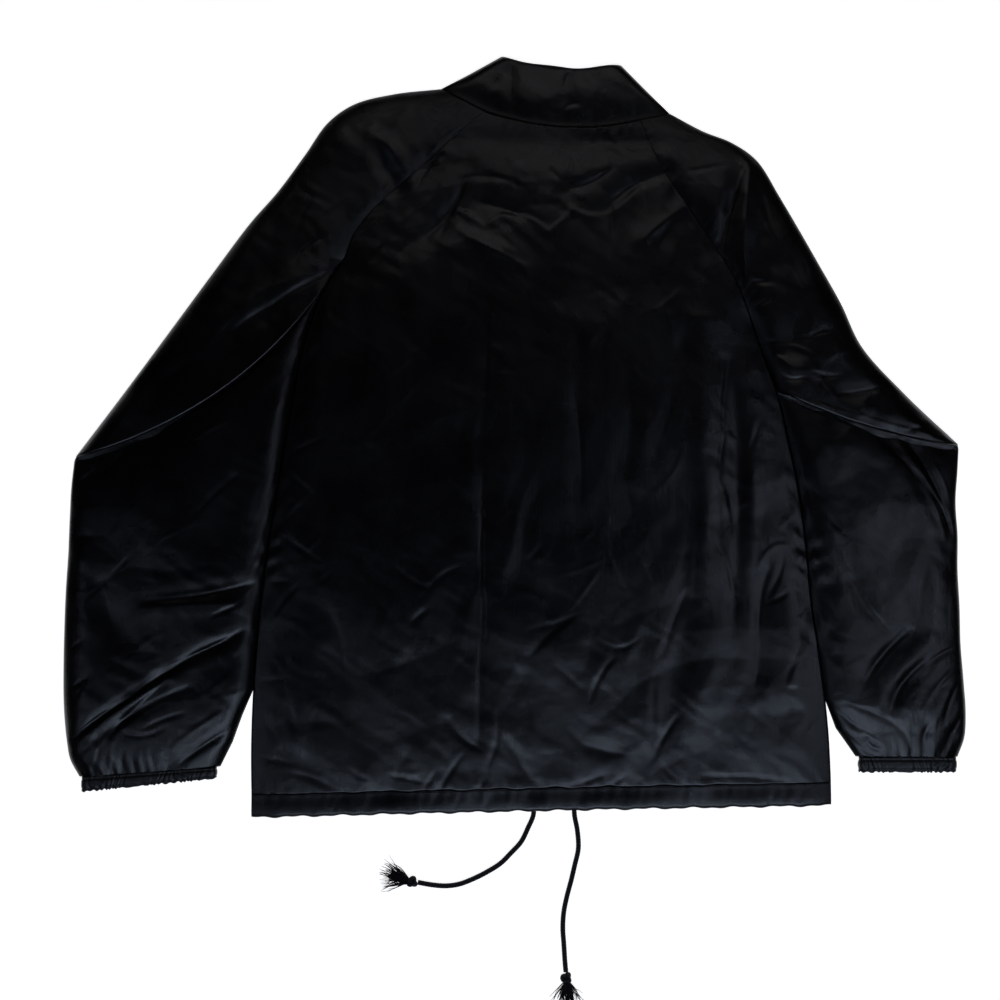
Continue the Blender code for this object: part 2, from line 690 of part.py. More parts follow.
def make_front(name, side, edge, underarm, raglan, body_y, stand, material):
    """One front with its turned button stand, flat on the floor and lifted where the stands overlap.

    It returns x and y of its first row, and x, y and the underside's height of its last row.
    """
    edge_y = np.concatenate([raglan_sections(raglan)[:, 3], body_y])
    outer_x = edge_x(edge, edge_y) - side * body_gap(edge_y, underarm)
    rows = len(edge_y)
    row_share = np.linspace(0, 1, rows)
    stand_y = FRONT_NECK_Y + (front_hem_y() - FRONT_NECK_Y) * row_share
    turn = np.linspace(0, math.pi / 2, FRONT_COLUMNS + 1)[None, :]
    even = np.linspace(0, 1, FRONT_COLUMNS + 1)[None, :]
    fade = (1 - ease(row_share / 0.35))[:, None]
    across = even + (1 - np.cos(turn) - even) * fade
    down = even + (np.sin(turn) - even) * fade
    x = outer_x[:, None] + (stand.rise_x - outer_x[:, None]) * across
    y = edge_y[:, None] + (stand_y - edge_y)[:, None] * down
    for stand_x in (stand.raised_x, stand.free_x):
        x = np.hstack([x, np.full((rows, 1), float(stand_x))])
        y = np.hstack([y, stand_y[:, None]])
    z = np.zeros_like(x)
    z[:, -2:] = stand.lift
    under = layout_to_frame(x, y, z)
    upper = layout_to_frame(x, y, z + CLOTH)
    front = two_skin_object(name, upper, under)
    front.data.materials.append(material)
    return x[0], y[0], x[-1], y[-1], z[-1]


def make_front_casing(name, x, y, lift, material):
    """Turned hem of one front, with the drawcord's channel: a doubled strip below the front's last row."""
    drops = np.array([SEAM_GAP, HEM_DEPTH * 0.35, HEM_DEPTH * 0.7, HEM_DEPTH])[:, None]
    grid_x = np.repeat(x[None, :], 4, axis=0)
    grid_y = y[None, :] + drops
    under = layout_to_frame(grid_x, grid_y, np.repeat(lift[None, :], 4, axis=0))
    thick = CASING_CLOTH - np.array([0.25, 0, 0, 0.25])[:, None]
    upper = layout_to_frame(grid_x, grid_y, lift[None, :] + thick)
    casing = two_skin_object(name, upper, under)
    casing.data.materials.append(material)
    return casing


def make_back_casing(material):
    """Hem casing of the back: a strip below the back's last row with small slanting puckers."""
    count = 2 * HEM_PUCKERS
    share = np.linspace(0, 1, count + 1)
    left_y, right_y = BODY_ROWS[-1]
    left_x = edge_x(LEFT_EDGE, left_y) + SIDE_GAP
    right_x = edge_x(RIGHT_EDGE, right_y) - SIDE_GAP
    x = left_x + (right_x - left_x) * share
    top_y = left_y + (right_y - left_y) * share + HEM_SAG * 4 * share * (1 - share)
    ends = np.exp(-share * (right_x - left_x) / SIDE_ROLL)
    ends = ends + np.exp(-(1 - share) * (right_x - left_x) / SIDE_ROLL)
    lows = []
    drops = (SEAM_GAP, HEM_DEPTH * 0.3, HEM_DEPTH * 0.72, HEM_DEPTH)
    for row, drop in enumerate(drops):
        slant = np.arange(count + 1) + row // 2
        pucker = HEM_PUCKER_HEIGHT * np.where(slant % 2 == 0, 0.5, -0.5)
        swell = (0.0, 0.5, 0.5, 0.1)[row]
        z = HEM_HEIGHT + swell + pucker * (0.5, 1, 1, 0.6)[row] - (HEM_HEIGHT - 4.4) * ends
        wander = 0.5 * pucker if row == 3 else 0
        shift = 1.4 * (row - 1.5) * np.sin(math.pi * share)
        lows.append(layout_to_frame(x + shift, top_y + drop + wander, z))
    outer = np.array(lows)
    casing = wall_mesh("hem_casing_back", outer, CASING_CLOTH, (1, 10), plumb_ends=True)
    casing.data.materials.append(material)
    return casing


def neckline(x):
    """Layout y of the collar seam across the back: two short straight runs and the back's arc between."""
    left, right = LEFT_EDGE[0], RIGHT_EDGE[0]
    share = np.clip((x - left.x) / (right.x - left.x), 0, 1)
    arc = left.y + (right.y - left.y) * share + NECK_SAG * 4 * share * (1 - share)
    left_run = COLLAR_LEFT_NECK[1] + (left.y - COLLAR_LEFT_NECK[1]) * (x - COLLAR_LEFT_NECK[0]) / (
        left.x - COLLAR_LEFT_NECK[0]
    )
    right_run = right.y + (COLLAR_RIGHT_NECK[1] - right.y) * (x - right.x) / (
        COLLAR_RIGHT_NECK[0] - right.x
    )
    return np.where(x < left.x, left_run, np.where(x > right.x, right_run, arc))


def collar_wing(neck_x, neck_y, side_neck, front_end, tip, point):
    """Lower and upper edge of one front end of the collar, from its fold to the front centre."""
    along = np.linspace(0, 1, 3)[:-1]
    lower_x = np.concatenate([side_neck[0] + (neck_x[0] - side_neck[0]) * along, neck_x, [front_end]])
    lower_y = np.concatenate([side_neck[1] + (neck_y[0] - side_neck[1]) * along, neck_y, [FRONT_NECK_Y]])
    share = np.linspace(0, 1, len(lower_x))
    upper_x = tip[0] + (point[0] - tip[0]) * share
    upper_y = tip[1] + (point[1] - tip[1]) * share
    return lower_x, lower_y, upper_x, upper_y


def make_collar(left_neck, right_neck, material):
    """Collar turned up: one wall from the left front end, round its fold, over the back, to the right end.

    left_neck and right_neck are x and y along each front's own neck edge.
    """
    lift = np.linspace(0, 1, COLLAR_ROWS + 1)[:, None]
    share = 0.5 * (1 - np.cos(math.pi * np.linspace(0, 1, COLLAR_BACK_COLUMNS + 1)))
    low_x = COLLAR_LEFT_NECK[0] + (COLLAR_RIGHT_NECK[0] - COLLAR_LEFT_NECK[0]) * share
    low_y = neckline(low_x) - COLLAR_GAP
    high_x = COLLAR_LEFT_TIP[0] + (COLLAR_RIGHT_TIP[0] - COLLAR_LEFT_TIP[0]) * share
    high_y = COLLAR_LEFT_TIP[1] + (COLLAR_RIGHT_TIP[1] - COLLAR_LEFT_TIP[1]) * share
    high_y = high_y + COLLAR_TOP_DIP * np.sin(math.pi * share)
    x = low_x + (high_x - low_x) * lift
    y = low_y + (high_y - low_y) * lift
    width = (x[:, -1] - x[:, 0])[:, None]
    from_edge = np.minimum(share, 1 - share)[None, :] * width
    rise = np.sqrt(1 - (1 - np.clip(from_edge / COLLAR_EDGE_ROLL, 0, 1)) ** 2)
    height = EDGE_HEIGHT + 0.4 + (COLLAR_LOFT - EDGE_HEIGHT + 1.2 * lift) * rise
    held = 1 - np.exp(-((from_edge / 8) ** 2))
    height = keep_above(height + held * relief(x, y), EDGE_HEIGHT + 2.6 * rise)
    grids = [layout_to_frame(x, y, height)]
    wings = (
        (left_neck, COLLAR_LEFT_NECK, FRONT_CENTRE_X - 3, COLLAR_LEFT_TIP, COLLAR_POINTS[0]),
        (right_neck, COLLAR_RIGHT_NECK, FRONT_CENTRE_X + 3, COLLAR_RIGHT_TIP, COLLAR_POINTS[1]),
    )
    for (neck_x, neck_y), side_neck, front_end, tip, point in wings:
        lower_x, lower_y, upper_x, upper_y = collar_wing(
            neck_x, neck_y, side_neck, front_end, tip, point
        )
        x = lower_x + (upper_x - lower_x) * lift
        y = lower_y - COLLAR_GAP + (upper_y - lower_y) * lift
        inwards = HAIRPIN * np.sign(front_end - side_neck[0])
        x = np.hstack([x[:, :1] + inwards, x[:, 1:]])
        y = np.hstack([y[:, :1] + 0.3, y[:, 1:]])
        grids.append(layout_to_frame(x, y, np.zeros_like(x)))
    back, left, right = grids
    outer = np.concatenate([left[:, ::-1], back, right], axis=1)
    middle = left.shape[1] + COLLAR_BACK_COLUMNS // 2
    collar = wall_mesh("collar", outer, COLLAR_CLOTH, (2, middle))
    collar.data.materials.append(material)


def make_snaps(material):
    """Snap caps down the front: thin domed discs on the floor side of the button stand."""
    for number in range(SNAP_COUNT):
        y = FIRST_SNAP_Y + (LAST_SNAP_Y - FIRST_SNAP_Y) * number / (SNAP_COUNT - 1)
        mesh = bpy.data.meshes.new(f"snap_{number + 1}")
        work = bmesh.new()
        bmesh.ops.create_cone(
            work,
            cap_ends=True,
            segments=16,
            radius1=SNAP_RADIUS * MM * 0.86,
            radius2=SNAP_RADIUS * MM,
            depth=SNAP_THICK * MM,
        )
        work.to_mesh(mesh)
        work.free()
        mesh.shade_smooth()
        mesh.set_sharp_from_angle(angle=math.radians(30))
        snap = bpy.data.objects.new(mesh.name, mesh)
        snap.location = layout_to_frame(FRONT_CENTRE_X, y, SNAP_THICK / 2)
        bpy.context.scene.collection.objects.link(snap)
        mesh.materials.append(material)


def cord_route(points):
    """Points every CORD_POINT_STEP along the smooth curve through a cord's own points."""
    curve = smooth_rows(points, 12)
    reach = np.concatenate([[0], np.cumsum(np.hypot(*np.diff(curve, axis=0).T))])
    count = int(round(reach[-1] / CORD_POINT_STEP))
    stations = np.linspace(0, reach[-1], count + 1)
    return np.interp(stations, reach, curve[:, 0]), np.interp(stations, reach, curve[:, 1])


def make_cord(name, points, material):
    """Free end of the drawcord as a round tube on the floor."""
    x, y = cord_route(points)
    line = bpy.data.curves.new(name, "CURVE")
    line.dimensions = "3D"
    line.bevel_depth = CORD_DIAMETER / 2 * MM
    line.bevel_resolution = 3
    line.use_fill_caps = True
    spline = line.splines.new("POLY")
    spline.points.add(len(x) - 1)
    route = layout_to_frame(x, y, np.full_like(x, CORD_REST))
    for point, place in zip(spline.points, route):
        point.co = (*place, 1)
    line.materials.append(material)
    cord = bpy.data.objects.new(name, line)
    bpy.context.scene.collection.objects.link(cord)
    return Vector(route[-1]), (Vector(route[-1]) - Vector(route[-2])).normalized()


def make_cord_end(name, start, heading, material):
    """Knot and frayed tuft in one: rings of points round the heading, and tapered strands on the end.

    The knot is a turned body that swells and closes to a flat end, whose faces are drawn out one by one.
    """
    sideways = Vector((-heading.y, heading.x, 0))
    up = Vector((0, 0, 1))
    work = bmesh.new()
    rings = []
    for reach, radius in KNOT_RINGS:
        ring = []
        for step in range(KNOT_SIDES):
            angle = 2 * math.pi * step / KNOT_SIDES
            place = start + heading * (reach + SEAM_GAP) * MM
            place = place + sideways * math.cos(angle) * radius * MM
            place = Vector((place.x, place.y, (KNOT_HEIGHT + math.sin(angle) * radius) * MM))
            ring.append(work.verts.new(place))
        rings.append(ring)
    for ring, following in zip(rings, rings[1:]):
        for step in range(KNOT_SIDES):
            after = (step + 1) % KNOT_SIDES
            work.faces.new((ring[step], ring[after], following[after], following[step]))
    work.faces.new(rings[0])
    end = rings[-1]
    middle = work.verts.new(Vector(sum((v.co for v in end), Vector()) / KNOT_SIDES))
    inner = [work.verts.new(middle.co.lerp(vert.co, 0.52)) for vert in end]
    end_faces = []
    for step in range(KNOT_SIDES):
        after = (step + 1) % KNOT_SIDES
        end_faces.append(work.faces.new((end[step], end[after], inner[after], inner[step])))
        end_faces.append(work.faces.new((inner[step], inner[after], middle)))
    bmesh.ops.recalc_face_normals(work, faces=work.faces)
    bmesh.ops.inset_individual(work, faces=end_faces, thickness=0.12 * MM)
    for order, face in enumerate(end_faces):
        draw_out_strand(work, face, middle.co, heading, sideways, up, order)
    mesh = bpy.data.meshes.new(name)
    work.to_mesh(mesh)
    work.free()
    mesh.shade_smooth()
    mesh.set_sharp_from_angle(angle=math.radians(60))
    mesh.materials.append(material)
    bpy.context.scene.collection.objects.link(bpy.data.objects.new(name, mesh))


def draw_out_strand(work, face, centre, heading, sideways, up, order):
    """One tapered strand: the face is drawn out twice along a heading that spreads from the middle."""
    offset = face.calc_center_median() - centre
    side_share = offset.dot(sideways) / (4 * MM)
    up_share = offset.dot(up) / (4 * MM)
    length = TUFT_LENGTH * (0.82 + 0.18 * math.cos(2.4 * order)) * MM
    fan = heading + sideways * side_share * TUFT_SPREAD
    for leg in TUFT_LEGS:
        face = bmesh.ops.extrude_discrete_faces(work, faces=[face])["faces"][0]
        sink = leg.sink + leg.sink_by_height * up_share
        move = (fan + up * sink).normalized() * length * leg.portion
        bmesh.ops.translate(work, verts=face.verts, vec=move)
        middle = face.calc_center_median()
        for vert in face.verts:
            vert.co = middle + (vert.co - middle) * leg.shrink
            vert.co.z = max(vert.co.z, TUFT_LOWEST * MM)


def build():
    """Clears the scene and makes every piece of the jacket."""
    for thing in list(bpy.data.objects):
        bpy.data.objects.remove(thing, do_unlink=True)
    nylon = plain_material("black nylon taffeta", (0.009, 0.010, 0.012), 0.36)
    rib = plain_material("elasticated nylon cuff", (0.008, 0.009, 0.011), 0.42)
    braid = plain_material("braided cotton drawcord", (0.012, 0.014, 0.02), 0.8)
    snap_metal = plain_material("black painted snap", (0.010, 0.010, 0.011), 0.3)

    make_back(nylon)
    left = make_sleeve(
        "sleeve_left",
        LEFT_RAGLAN,
        LEFT_UPPER_ARM,
        LEFT_FOREARM,
        LEFT_EDGE,
        LEFT_CUFF_TURN,
        LEFT_UNDERARM,
        -1,
        nylon,
    )
    right = make_sleeve(
        "sleeve_right",
        RIGHT_RAGLAN,
        RIGHT_UPPER_ARM,
        RIGHT_FOREARM,
        RIGHT_EDGE,
        RIGHT_CUFF_TURN,
        RIGHT_UNDERARM,
        1,
        nylon,
    )
    for name, points, slant in (
        ("cuff_left", left, LEFT_CUFF_SLANT),
        ("cuff_right", right, RIGHT_CUFF_SLANT),
    ):
        last = points[-1] / MM
        outer_end = (last[SLEEVE_TOP_COLUMNS, 0] + CENTRE_X, CENTRE_Y - last[SLEEVE_TOP_COLUMNS, 1])
        seam_end = (last[0, 0] + CENTRE_X, CENTRE_Y - last[0, 1])
        make_cuff(name, (outer_end, seam_end), slant, rib)

    body_y = body_rows()[1:] - np.linspace(0, FRONT_HEM_RISE, len(body_rows()) - 1)[:, None]
    necks = []
    for name, side, edge, underarm, raglan, stand, front_y in (
        ("left", -1, LEFT_EDGE, LEFT_UNDERARM, LEFT_RAGLAN, LEFT_STAND, body_y[:, 0]),
        ("right", 1, RIGHT_EDGE, RIGHT_UNDERARM, RIGHT_RAGLAN, RIGHT_STAND, body_y[:, 1]),
    ):
        neck_x, neck_y, hem_x, hem_y, hem_z = make_front(
            f"front_{name}", side, edge, underarm, raglan, front_y, stand, nylon
        )
        make_front_casing(f"hem_casing_front_{name}", hem_x, hem_y, hem_z, nylon)
        necks.append((neck_x[: FRONT_COLUMNS + 1], neck_y[: FRONT_COLUMNS + 1]))
    make_back_casing(nylon)
    make_collar(necks[0], necks[1], nylon)
    make_snaps(snap_metal)
    for side, points in (("left", LEFT_CORD), ("right", RIGHT_CORD)):
        end, heading = make_cord(f"drawcord_{side}", points, braid)
        make_cord_end(f"drawcord_end_{side}", end, heading, braid)


build()
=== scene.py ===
"""Looks of a coach jacket in black nylon that lies face down: cloth skins, seams, stitches and cords.

The tables are in layout millimetres, as in the part's source: x runs to the right and y down over the
square metre that the jacket lies on, heights are millimetres above the floor, and place() turns them into
the frame's metres. The jacket's back is up, its fronts lie on the floor and its collar is turned up.
"""

import math
from collections import namedtuple

import bpy
import numpy as np
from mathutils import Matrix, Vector


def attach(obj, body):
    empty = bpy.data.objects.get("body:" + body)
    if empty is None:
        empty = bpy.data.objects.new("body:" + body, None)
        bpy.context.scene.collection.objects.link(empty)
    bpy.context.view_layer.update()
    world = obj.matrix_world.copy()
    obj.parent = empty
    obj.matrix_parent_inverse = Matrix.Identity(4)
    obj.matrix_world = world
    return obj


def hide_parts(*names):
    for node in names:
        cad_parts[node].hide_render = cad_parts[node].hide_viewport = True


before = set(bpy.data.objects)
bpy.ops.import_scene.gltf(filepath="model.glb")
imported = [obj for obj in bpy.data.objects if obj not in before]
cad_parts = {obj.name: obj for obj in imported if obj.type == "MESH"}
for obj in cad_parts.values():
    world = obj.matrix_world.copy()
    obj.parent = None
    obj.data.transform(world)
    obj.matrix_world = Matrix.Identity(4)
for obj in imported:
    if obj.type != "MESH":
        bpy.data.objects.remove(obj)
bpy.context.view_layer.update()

MM = 0.001
CENTRE_X = 514.5
CENTRE_Y = 437.0

CLOTH = 1.2
COLLAR_CLOTH = 1.8
CASING_CLOTH = 1.6
CUFF_CLOTH = 1.6
SEAM_GAP = 0.3
SEWN_GAP = 0.1
NOSE = 0.25

# Heights of the outer face of the upper layer, and how far in from an edge it takes to get there.
SEAM_HEIGHT = 6.2
SIDE_SEAM_HEIGHT = 3.4
BODY_LOFT = 6.8
LOWEST_BACK = 4.2
LOWEST_OVER_PLACKET = 5.9
EDGE_HEIGHT = 2.6
EDGE_ROLL = 30.0
SIDE_ROLL = 18.0
TIGHTER_AT_SIDE = 6.0
TIGHTER_AT_CUFF = 3.0
UNDER_LIFT = 0.9

FRONT_CENTRE_X = 554.0
PLACKET_HALF = 15.0
PLACKET_LIFT = 1.1
SNAP_COUNT = 5
SNAP_SIDES = 48
FIRST_SNAP_FROM_NECK = 14
LAST_SNAP_Y = 770
# A snap cap from the middle of its dome, round its rolled rim, to the middle of its back.
ProfilePoint = namedtuple("ProfilePoint", "radius height")
SNAP_PROFILE = [
    ProfilePoint(0.02, 0.06),
    ProfilePoint(2.6, 0.1),
    ProfilePoint(4.6, 0.2),
    ProfilePoint(5.4, 0.3),
    ProfilePoint(6.1, 0.05),
    ProfilePoint(6.7, 0.02),
    ProfilePoint(7.0, 0.3),
    ProfilePoint(6.9, 0.6),
    ProfilePoint(6.5, 0.8),
    ProfilePoint(0.02, 0.8),
]

HEM_DEPTH = 22.0
FRONT_HEM_RISE = 8.0
HEM_HEIGHT = 7.5
HEM_END_HEIGHT = 4.4
HEM_FOLD_DROP = 0.9
CUFF_DEPTH = 15.0
CUFF_HEIGHT = 9.0
CUFF_RIB = 5.2
# The cuff is held down in two stitch lines: where each is in its depth, and how far it is drawn in.
StitchLine = namedtuple("StitchLine", "at drawn")
CUFF_STITCHES = (StitchLine(0.16, 0.5), StitchLine(0.8, 0.4))

CORD_DIAMETER = 5.0
CORD_REST = 2.6
KNOT_REACH = 7.5
TUFT_LENGTH = 29.0
TUFT_STRANDS = 110

# The meshes of the skins: how far apart the points of the back are, and how many lie across the others.
CELL = 2.3
SECTION_STEP = 3.0
UPPER_COLUMNS = 112
UNDER_COLUMNS = 44
FRONT_COLUMNS = 64
CROWDED_AT_EDGES = 0.55
FRONT_STEP = 7.0
CASING_ROWS = 14
BACK_CASING_ROWS = 18
BACK_CASING_COLUMNS = 400
CUFF_ROWS = 24
COLLAR_ROWS = 34
COLLAR_COLUMNS = 130

# The photograph shows one metre of floor, and its middle is this place of the layout.
PICTURE_MIDDLE = (500.0, 500.0)
PICTURE_WIDTH = 1.0
LENS = 50.0
SENSOR = 36.0

EdgePoint = namedtuple("EdgePoint", "y x")
LEFT_EDGE = [
    EdgePoint(110.5, 485),
    EdgePoint(138, 452),
    EdgePoint(166, 421),
    EdgePoint(190, 393),
    EdgePoint(213, 369),
    EdgePoint(235, 353),
    EdgePoint(257, 344),
    EdgePoint(290, 323),
    EdgePoint(336, 306),
    EdgePoint(405, 291),
    EdgePoint(475, 279),
    EdgePoint(540, 268),
    EdgePoint(610, 259),
    EdgePoint(680, 253),
    EdgePoint(740, 250.5),
    EdgePoint(820, 251),
]
RIGHT_EDGE = [
    EdgePoint(119, 640),
    EdgePoint(149, 653),
    EdgePoint(181, 671),
    EdgePoint(212, 692),
    EdgePoint(243, 714),
    EdgePoint(276, 734),
    EdgePoint(311, 749),
    EdgePoint(357, 765),
    EdgePoint(396, 779),
    EdgePoint(443, 790),
    EdgePoint(492, 800),
    EdgePoint(545, 807),
    EdgePoint(605, 813),
    EdgePoint(665, 822),
    EdgePoint(728, 829),
    EdgePoint(810, 833),
]

Section = namedtuple("Section", "outer_x outer_y top_y under_y bow loft")
LEFT_ABOVE_ELBOW = [
    Section(440, 88, 110.5, 128, 0, 7),
    Section(394, 93, 138, 150, 0, 9),
    Section(352, 104, 166, 174, 0, 10),
    Section(327, 122, 190, 195, 0, 11),
    Section(305, 153, 213, 216, 0, 11),
    Section(277, 191, 235, 236, 0, 12),
    Section(249, 223, 257, 257, 0, 12),
    Section(213, 271, 260, 260, 4, 12),
    Section(168, 332, 264, 264, 14, 13),
    Section(119, 398, 268, 268, 24, 14),
    Section(75, 456, 272, 272, 30, 15),
]
LEFT_BELOW_ELBOW = [
    Section(73, 461, 277, 277, 30, 6.5),
    Section(70.5, 482, 291, 291, 25, 8.5),
    Section(68.5, 515, 325, 325, 17, 10.5),
    Section(67, 552, 376, 376, 9, 11.5),
    Section(64.5, 590, 438, 438, 4, 11.5),
    Section(63, 628, 506, 506, 0, 11.5),
    Section(62.2, 665, 572, 572, 0, 12),
    Section(62.2, 697, 632, 632, 0, 13),
    Section(63.5, 722, 684, 684, 0, 14),
    Section(65.5, 741, 716, 716, 0, 14),
    Section(69, 760, 743, 743, 0, 13),
    Section(78, 777, 767, 767, 0, 10.5),
]
RIGHT_ABOVE_ELBOW = [
    Section(671, 113, 119, 139, 0, 7),
    Section(703, 130, 149, 162, 0, 9),
    Section(733, 142, 181, 189, 0, 10),
    Section(758, 160, 212, 217, 0, 11),
    Section(780, 195, 243, 246, 0, 11),
    Section(800, 229, 276, 277, 0, 12),
    Section(820, 264, 311, 311, 0, 12),
    Section(842, 303, 334, 334, 3, 12),
    Section(862, 345, 356, 356, 5, 13),
    Section(905, 393, 374, 374, 8, 14),
    Section(959, 444, 388, 388, 8, 15),
]
RIGHT_BELOW_ELBOW = [
    Section(960, 449, 393, 393, 8, 6.5),
    Section(959, 470, 414, 414, 6, 9),
    Section(957, 500, 447, 447, 4, 10.5),
    Section(959, 535, 492, 492, 2, 11.5),
    Section(959, 570, 540, 540, 0, 11.5),
    Section(961, 608, 590, 590, 0, 11.5),
    Section(962, 645, 636, 636, 0, 12),
    Section(965, 682, 678, 678, 0, 13),
    Section(967, 712, 706, 706, 0, 14),
    Section(966, 736, 729, 729, 0, 13),
    Section(959, 757, 757, 757, 0, 10.5),
]
LEFT_CUFF_TURN = [EdgePoint(690, 0), EdgePoint(716, 10), EdgePoint(743, 19), EdgePoint(767, 31)]
RIGHT_CUFF_TURN = [EdgePoint(700, 0), EdgePoint(729, 8), EdgePoint(757, 26)]

# At the elbow the upper arm lies over the forearm in a roll: how far the cloth has fallen from the upper
# arm's height, and how far forward of the fold it is, to the hem, so that it runs back under itself.
RollPoint = namedtuple("RollPoint", "fall forward")
ELBOW_ROLL = [
    RollPoint(0, 0),
    RollPoint(0.2, 1.3),
    RollPoint(1.3, 2.0),
    RollPoint(2.6, 1.6),
    RollPoint(4.2, -1.5),
    RollPoint(5.8, -6),
    RollPoint(6.8, -7),
    RollPoint(7.8, -3),
    RollPoint(8.5, 3),
]

# Where the cloth is caught between body and sleeve in slanting faces: from where to where, and how high.
Caught = namedtuple("Caught", "top bottom height")
# The two halves of the jacket. way is -1 on the left of the layout and 1 on the right, column is the half's
# in BACK_ROWS, and the stand's three x are where the front begins to rise, has risen by its lift, and ends.
Half = namedtuple(
    "Half",
    "name way edge underarm above below cuff_turn cuff_slant back_caught sleeve_caught column stand lift",
)
STAND_LEFT, STAND_RIGHT = FRONT_CENTRE_X - PLACKET_HALF, FRONT_CENTRE_X + PLACKET_HALF
LEFT = Half(
    name="left",
    way=-1,
    edge=LEFT_EDGE,
    underarm=257.0,
    above=LEFT_ABOVE_ELBOW,
    below=LEFT_BELOW_ELBOW,
    cuff_turn=LEFT_CUFF_TURN,
    cuff_slant=-4,
    back_caught=Caught(300, 640, 0.5),
    sleeve_caught=Caught(300, 660, 0.45),
    column=0,
    stand=(STAND_LEFT - 2, STAND_LEFT + 2, STAND_RIGHT),
    lift=PLACKET_LIFT,
)
RIGHT = Half(
    name="right",
    way=1,
    edge=RIGHT_EDGE,
    underarm=311.0,
    above=RIGHT_ABOVE_ELBOW,
    below=RIGHT_BELOW_ELBOW,
    cuff_turn=RIGHT_CUFF_TURN,
    cuff_slant=0,
    back_caught=Caught(380, 700, 0.75),
    sleeve_caught=Caught(400, 700, 0.5),
    column=1,
    stand=(STAND_RIGHT + 10, STAND_RIGHT + 2, STAND_LEFT),
    lift=PLACKET_LIFT + CASING_CLOTH + SEAM_GAP,
)

BackRow = namedtuple("BackRow", "left_y right_y")
BACK_ROWS = [
    BackRow(110.5, 119),
    BackRow(138, 149),
    BackRow(166, 181),
    BackRow(190, 212),
    BackRow(213, 243),
    BackRow(235, 276),
    BackRow(257, 311),
    BackRow(303, 352),
    BackRow(356, 395),
    BackRow(415, 443),
    BackRow(476, 493),
    BackRow(536, 542),
    BackRow(598, 595),
    BackRow(660, 648),
    BackRow(722, 706),
    BackRow(765, 752),
    BackRow(796, 784),
]
# The share of the back's rows that lies along the raglan seams.
RAGLAN_SHARE = 0.42
NECK_SAG = 11.5
HEM_SAG = -1.0

# Faint flat faces all over the cloth: how large they are, how their lattice is turned and how high they are.
Facets = namedtuple("Facets", "size turn height seed")
FACETS = [
    Facets(58, 25, 1.0, 1),
    Facets(27, -40, 0.5, 2),
    Facets(13, 70, 0.22, 3),
]
LATTICE = 32

# Ripples that the thread draws along a seam: how long and high they are, and how far they reach from it.
Puckers = namedtuple("Puckers", "length height reach")
RAGLAN_PUCKERS = Puckers(9.0, 0.16, 6.0)
NECK_PUCKERS = Puckers(11.0, 0.15, 8.0)
HEM_PUCKERS = Puckers(13.0, 0.2, 10.0)

# Soft folds: a ridge where the height is above nought and a trough where it is below, width is how far it
# reaches to each side, and its middle is bowed sideways.
Fold = namedtuple("Fold", "x1 y1 x2 y2 bow width height")
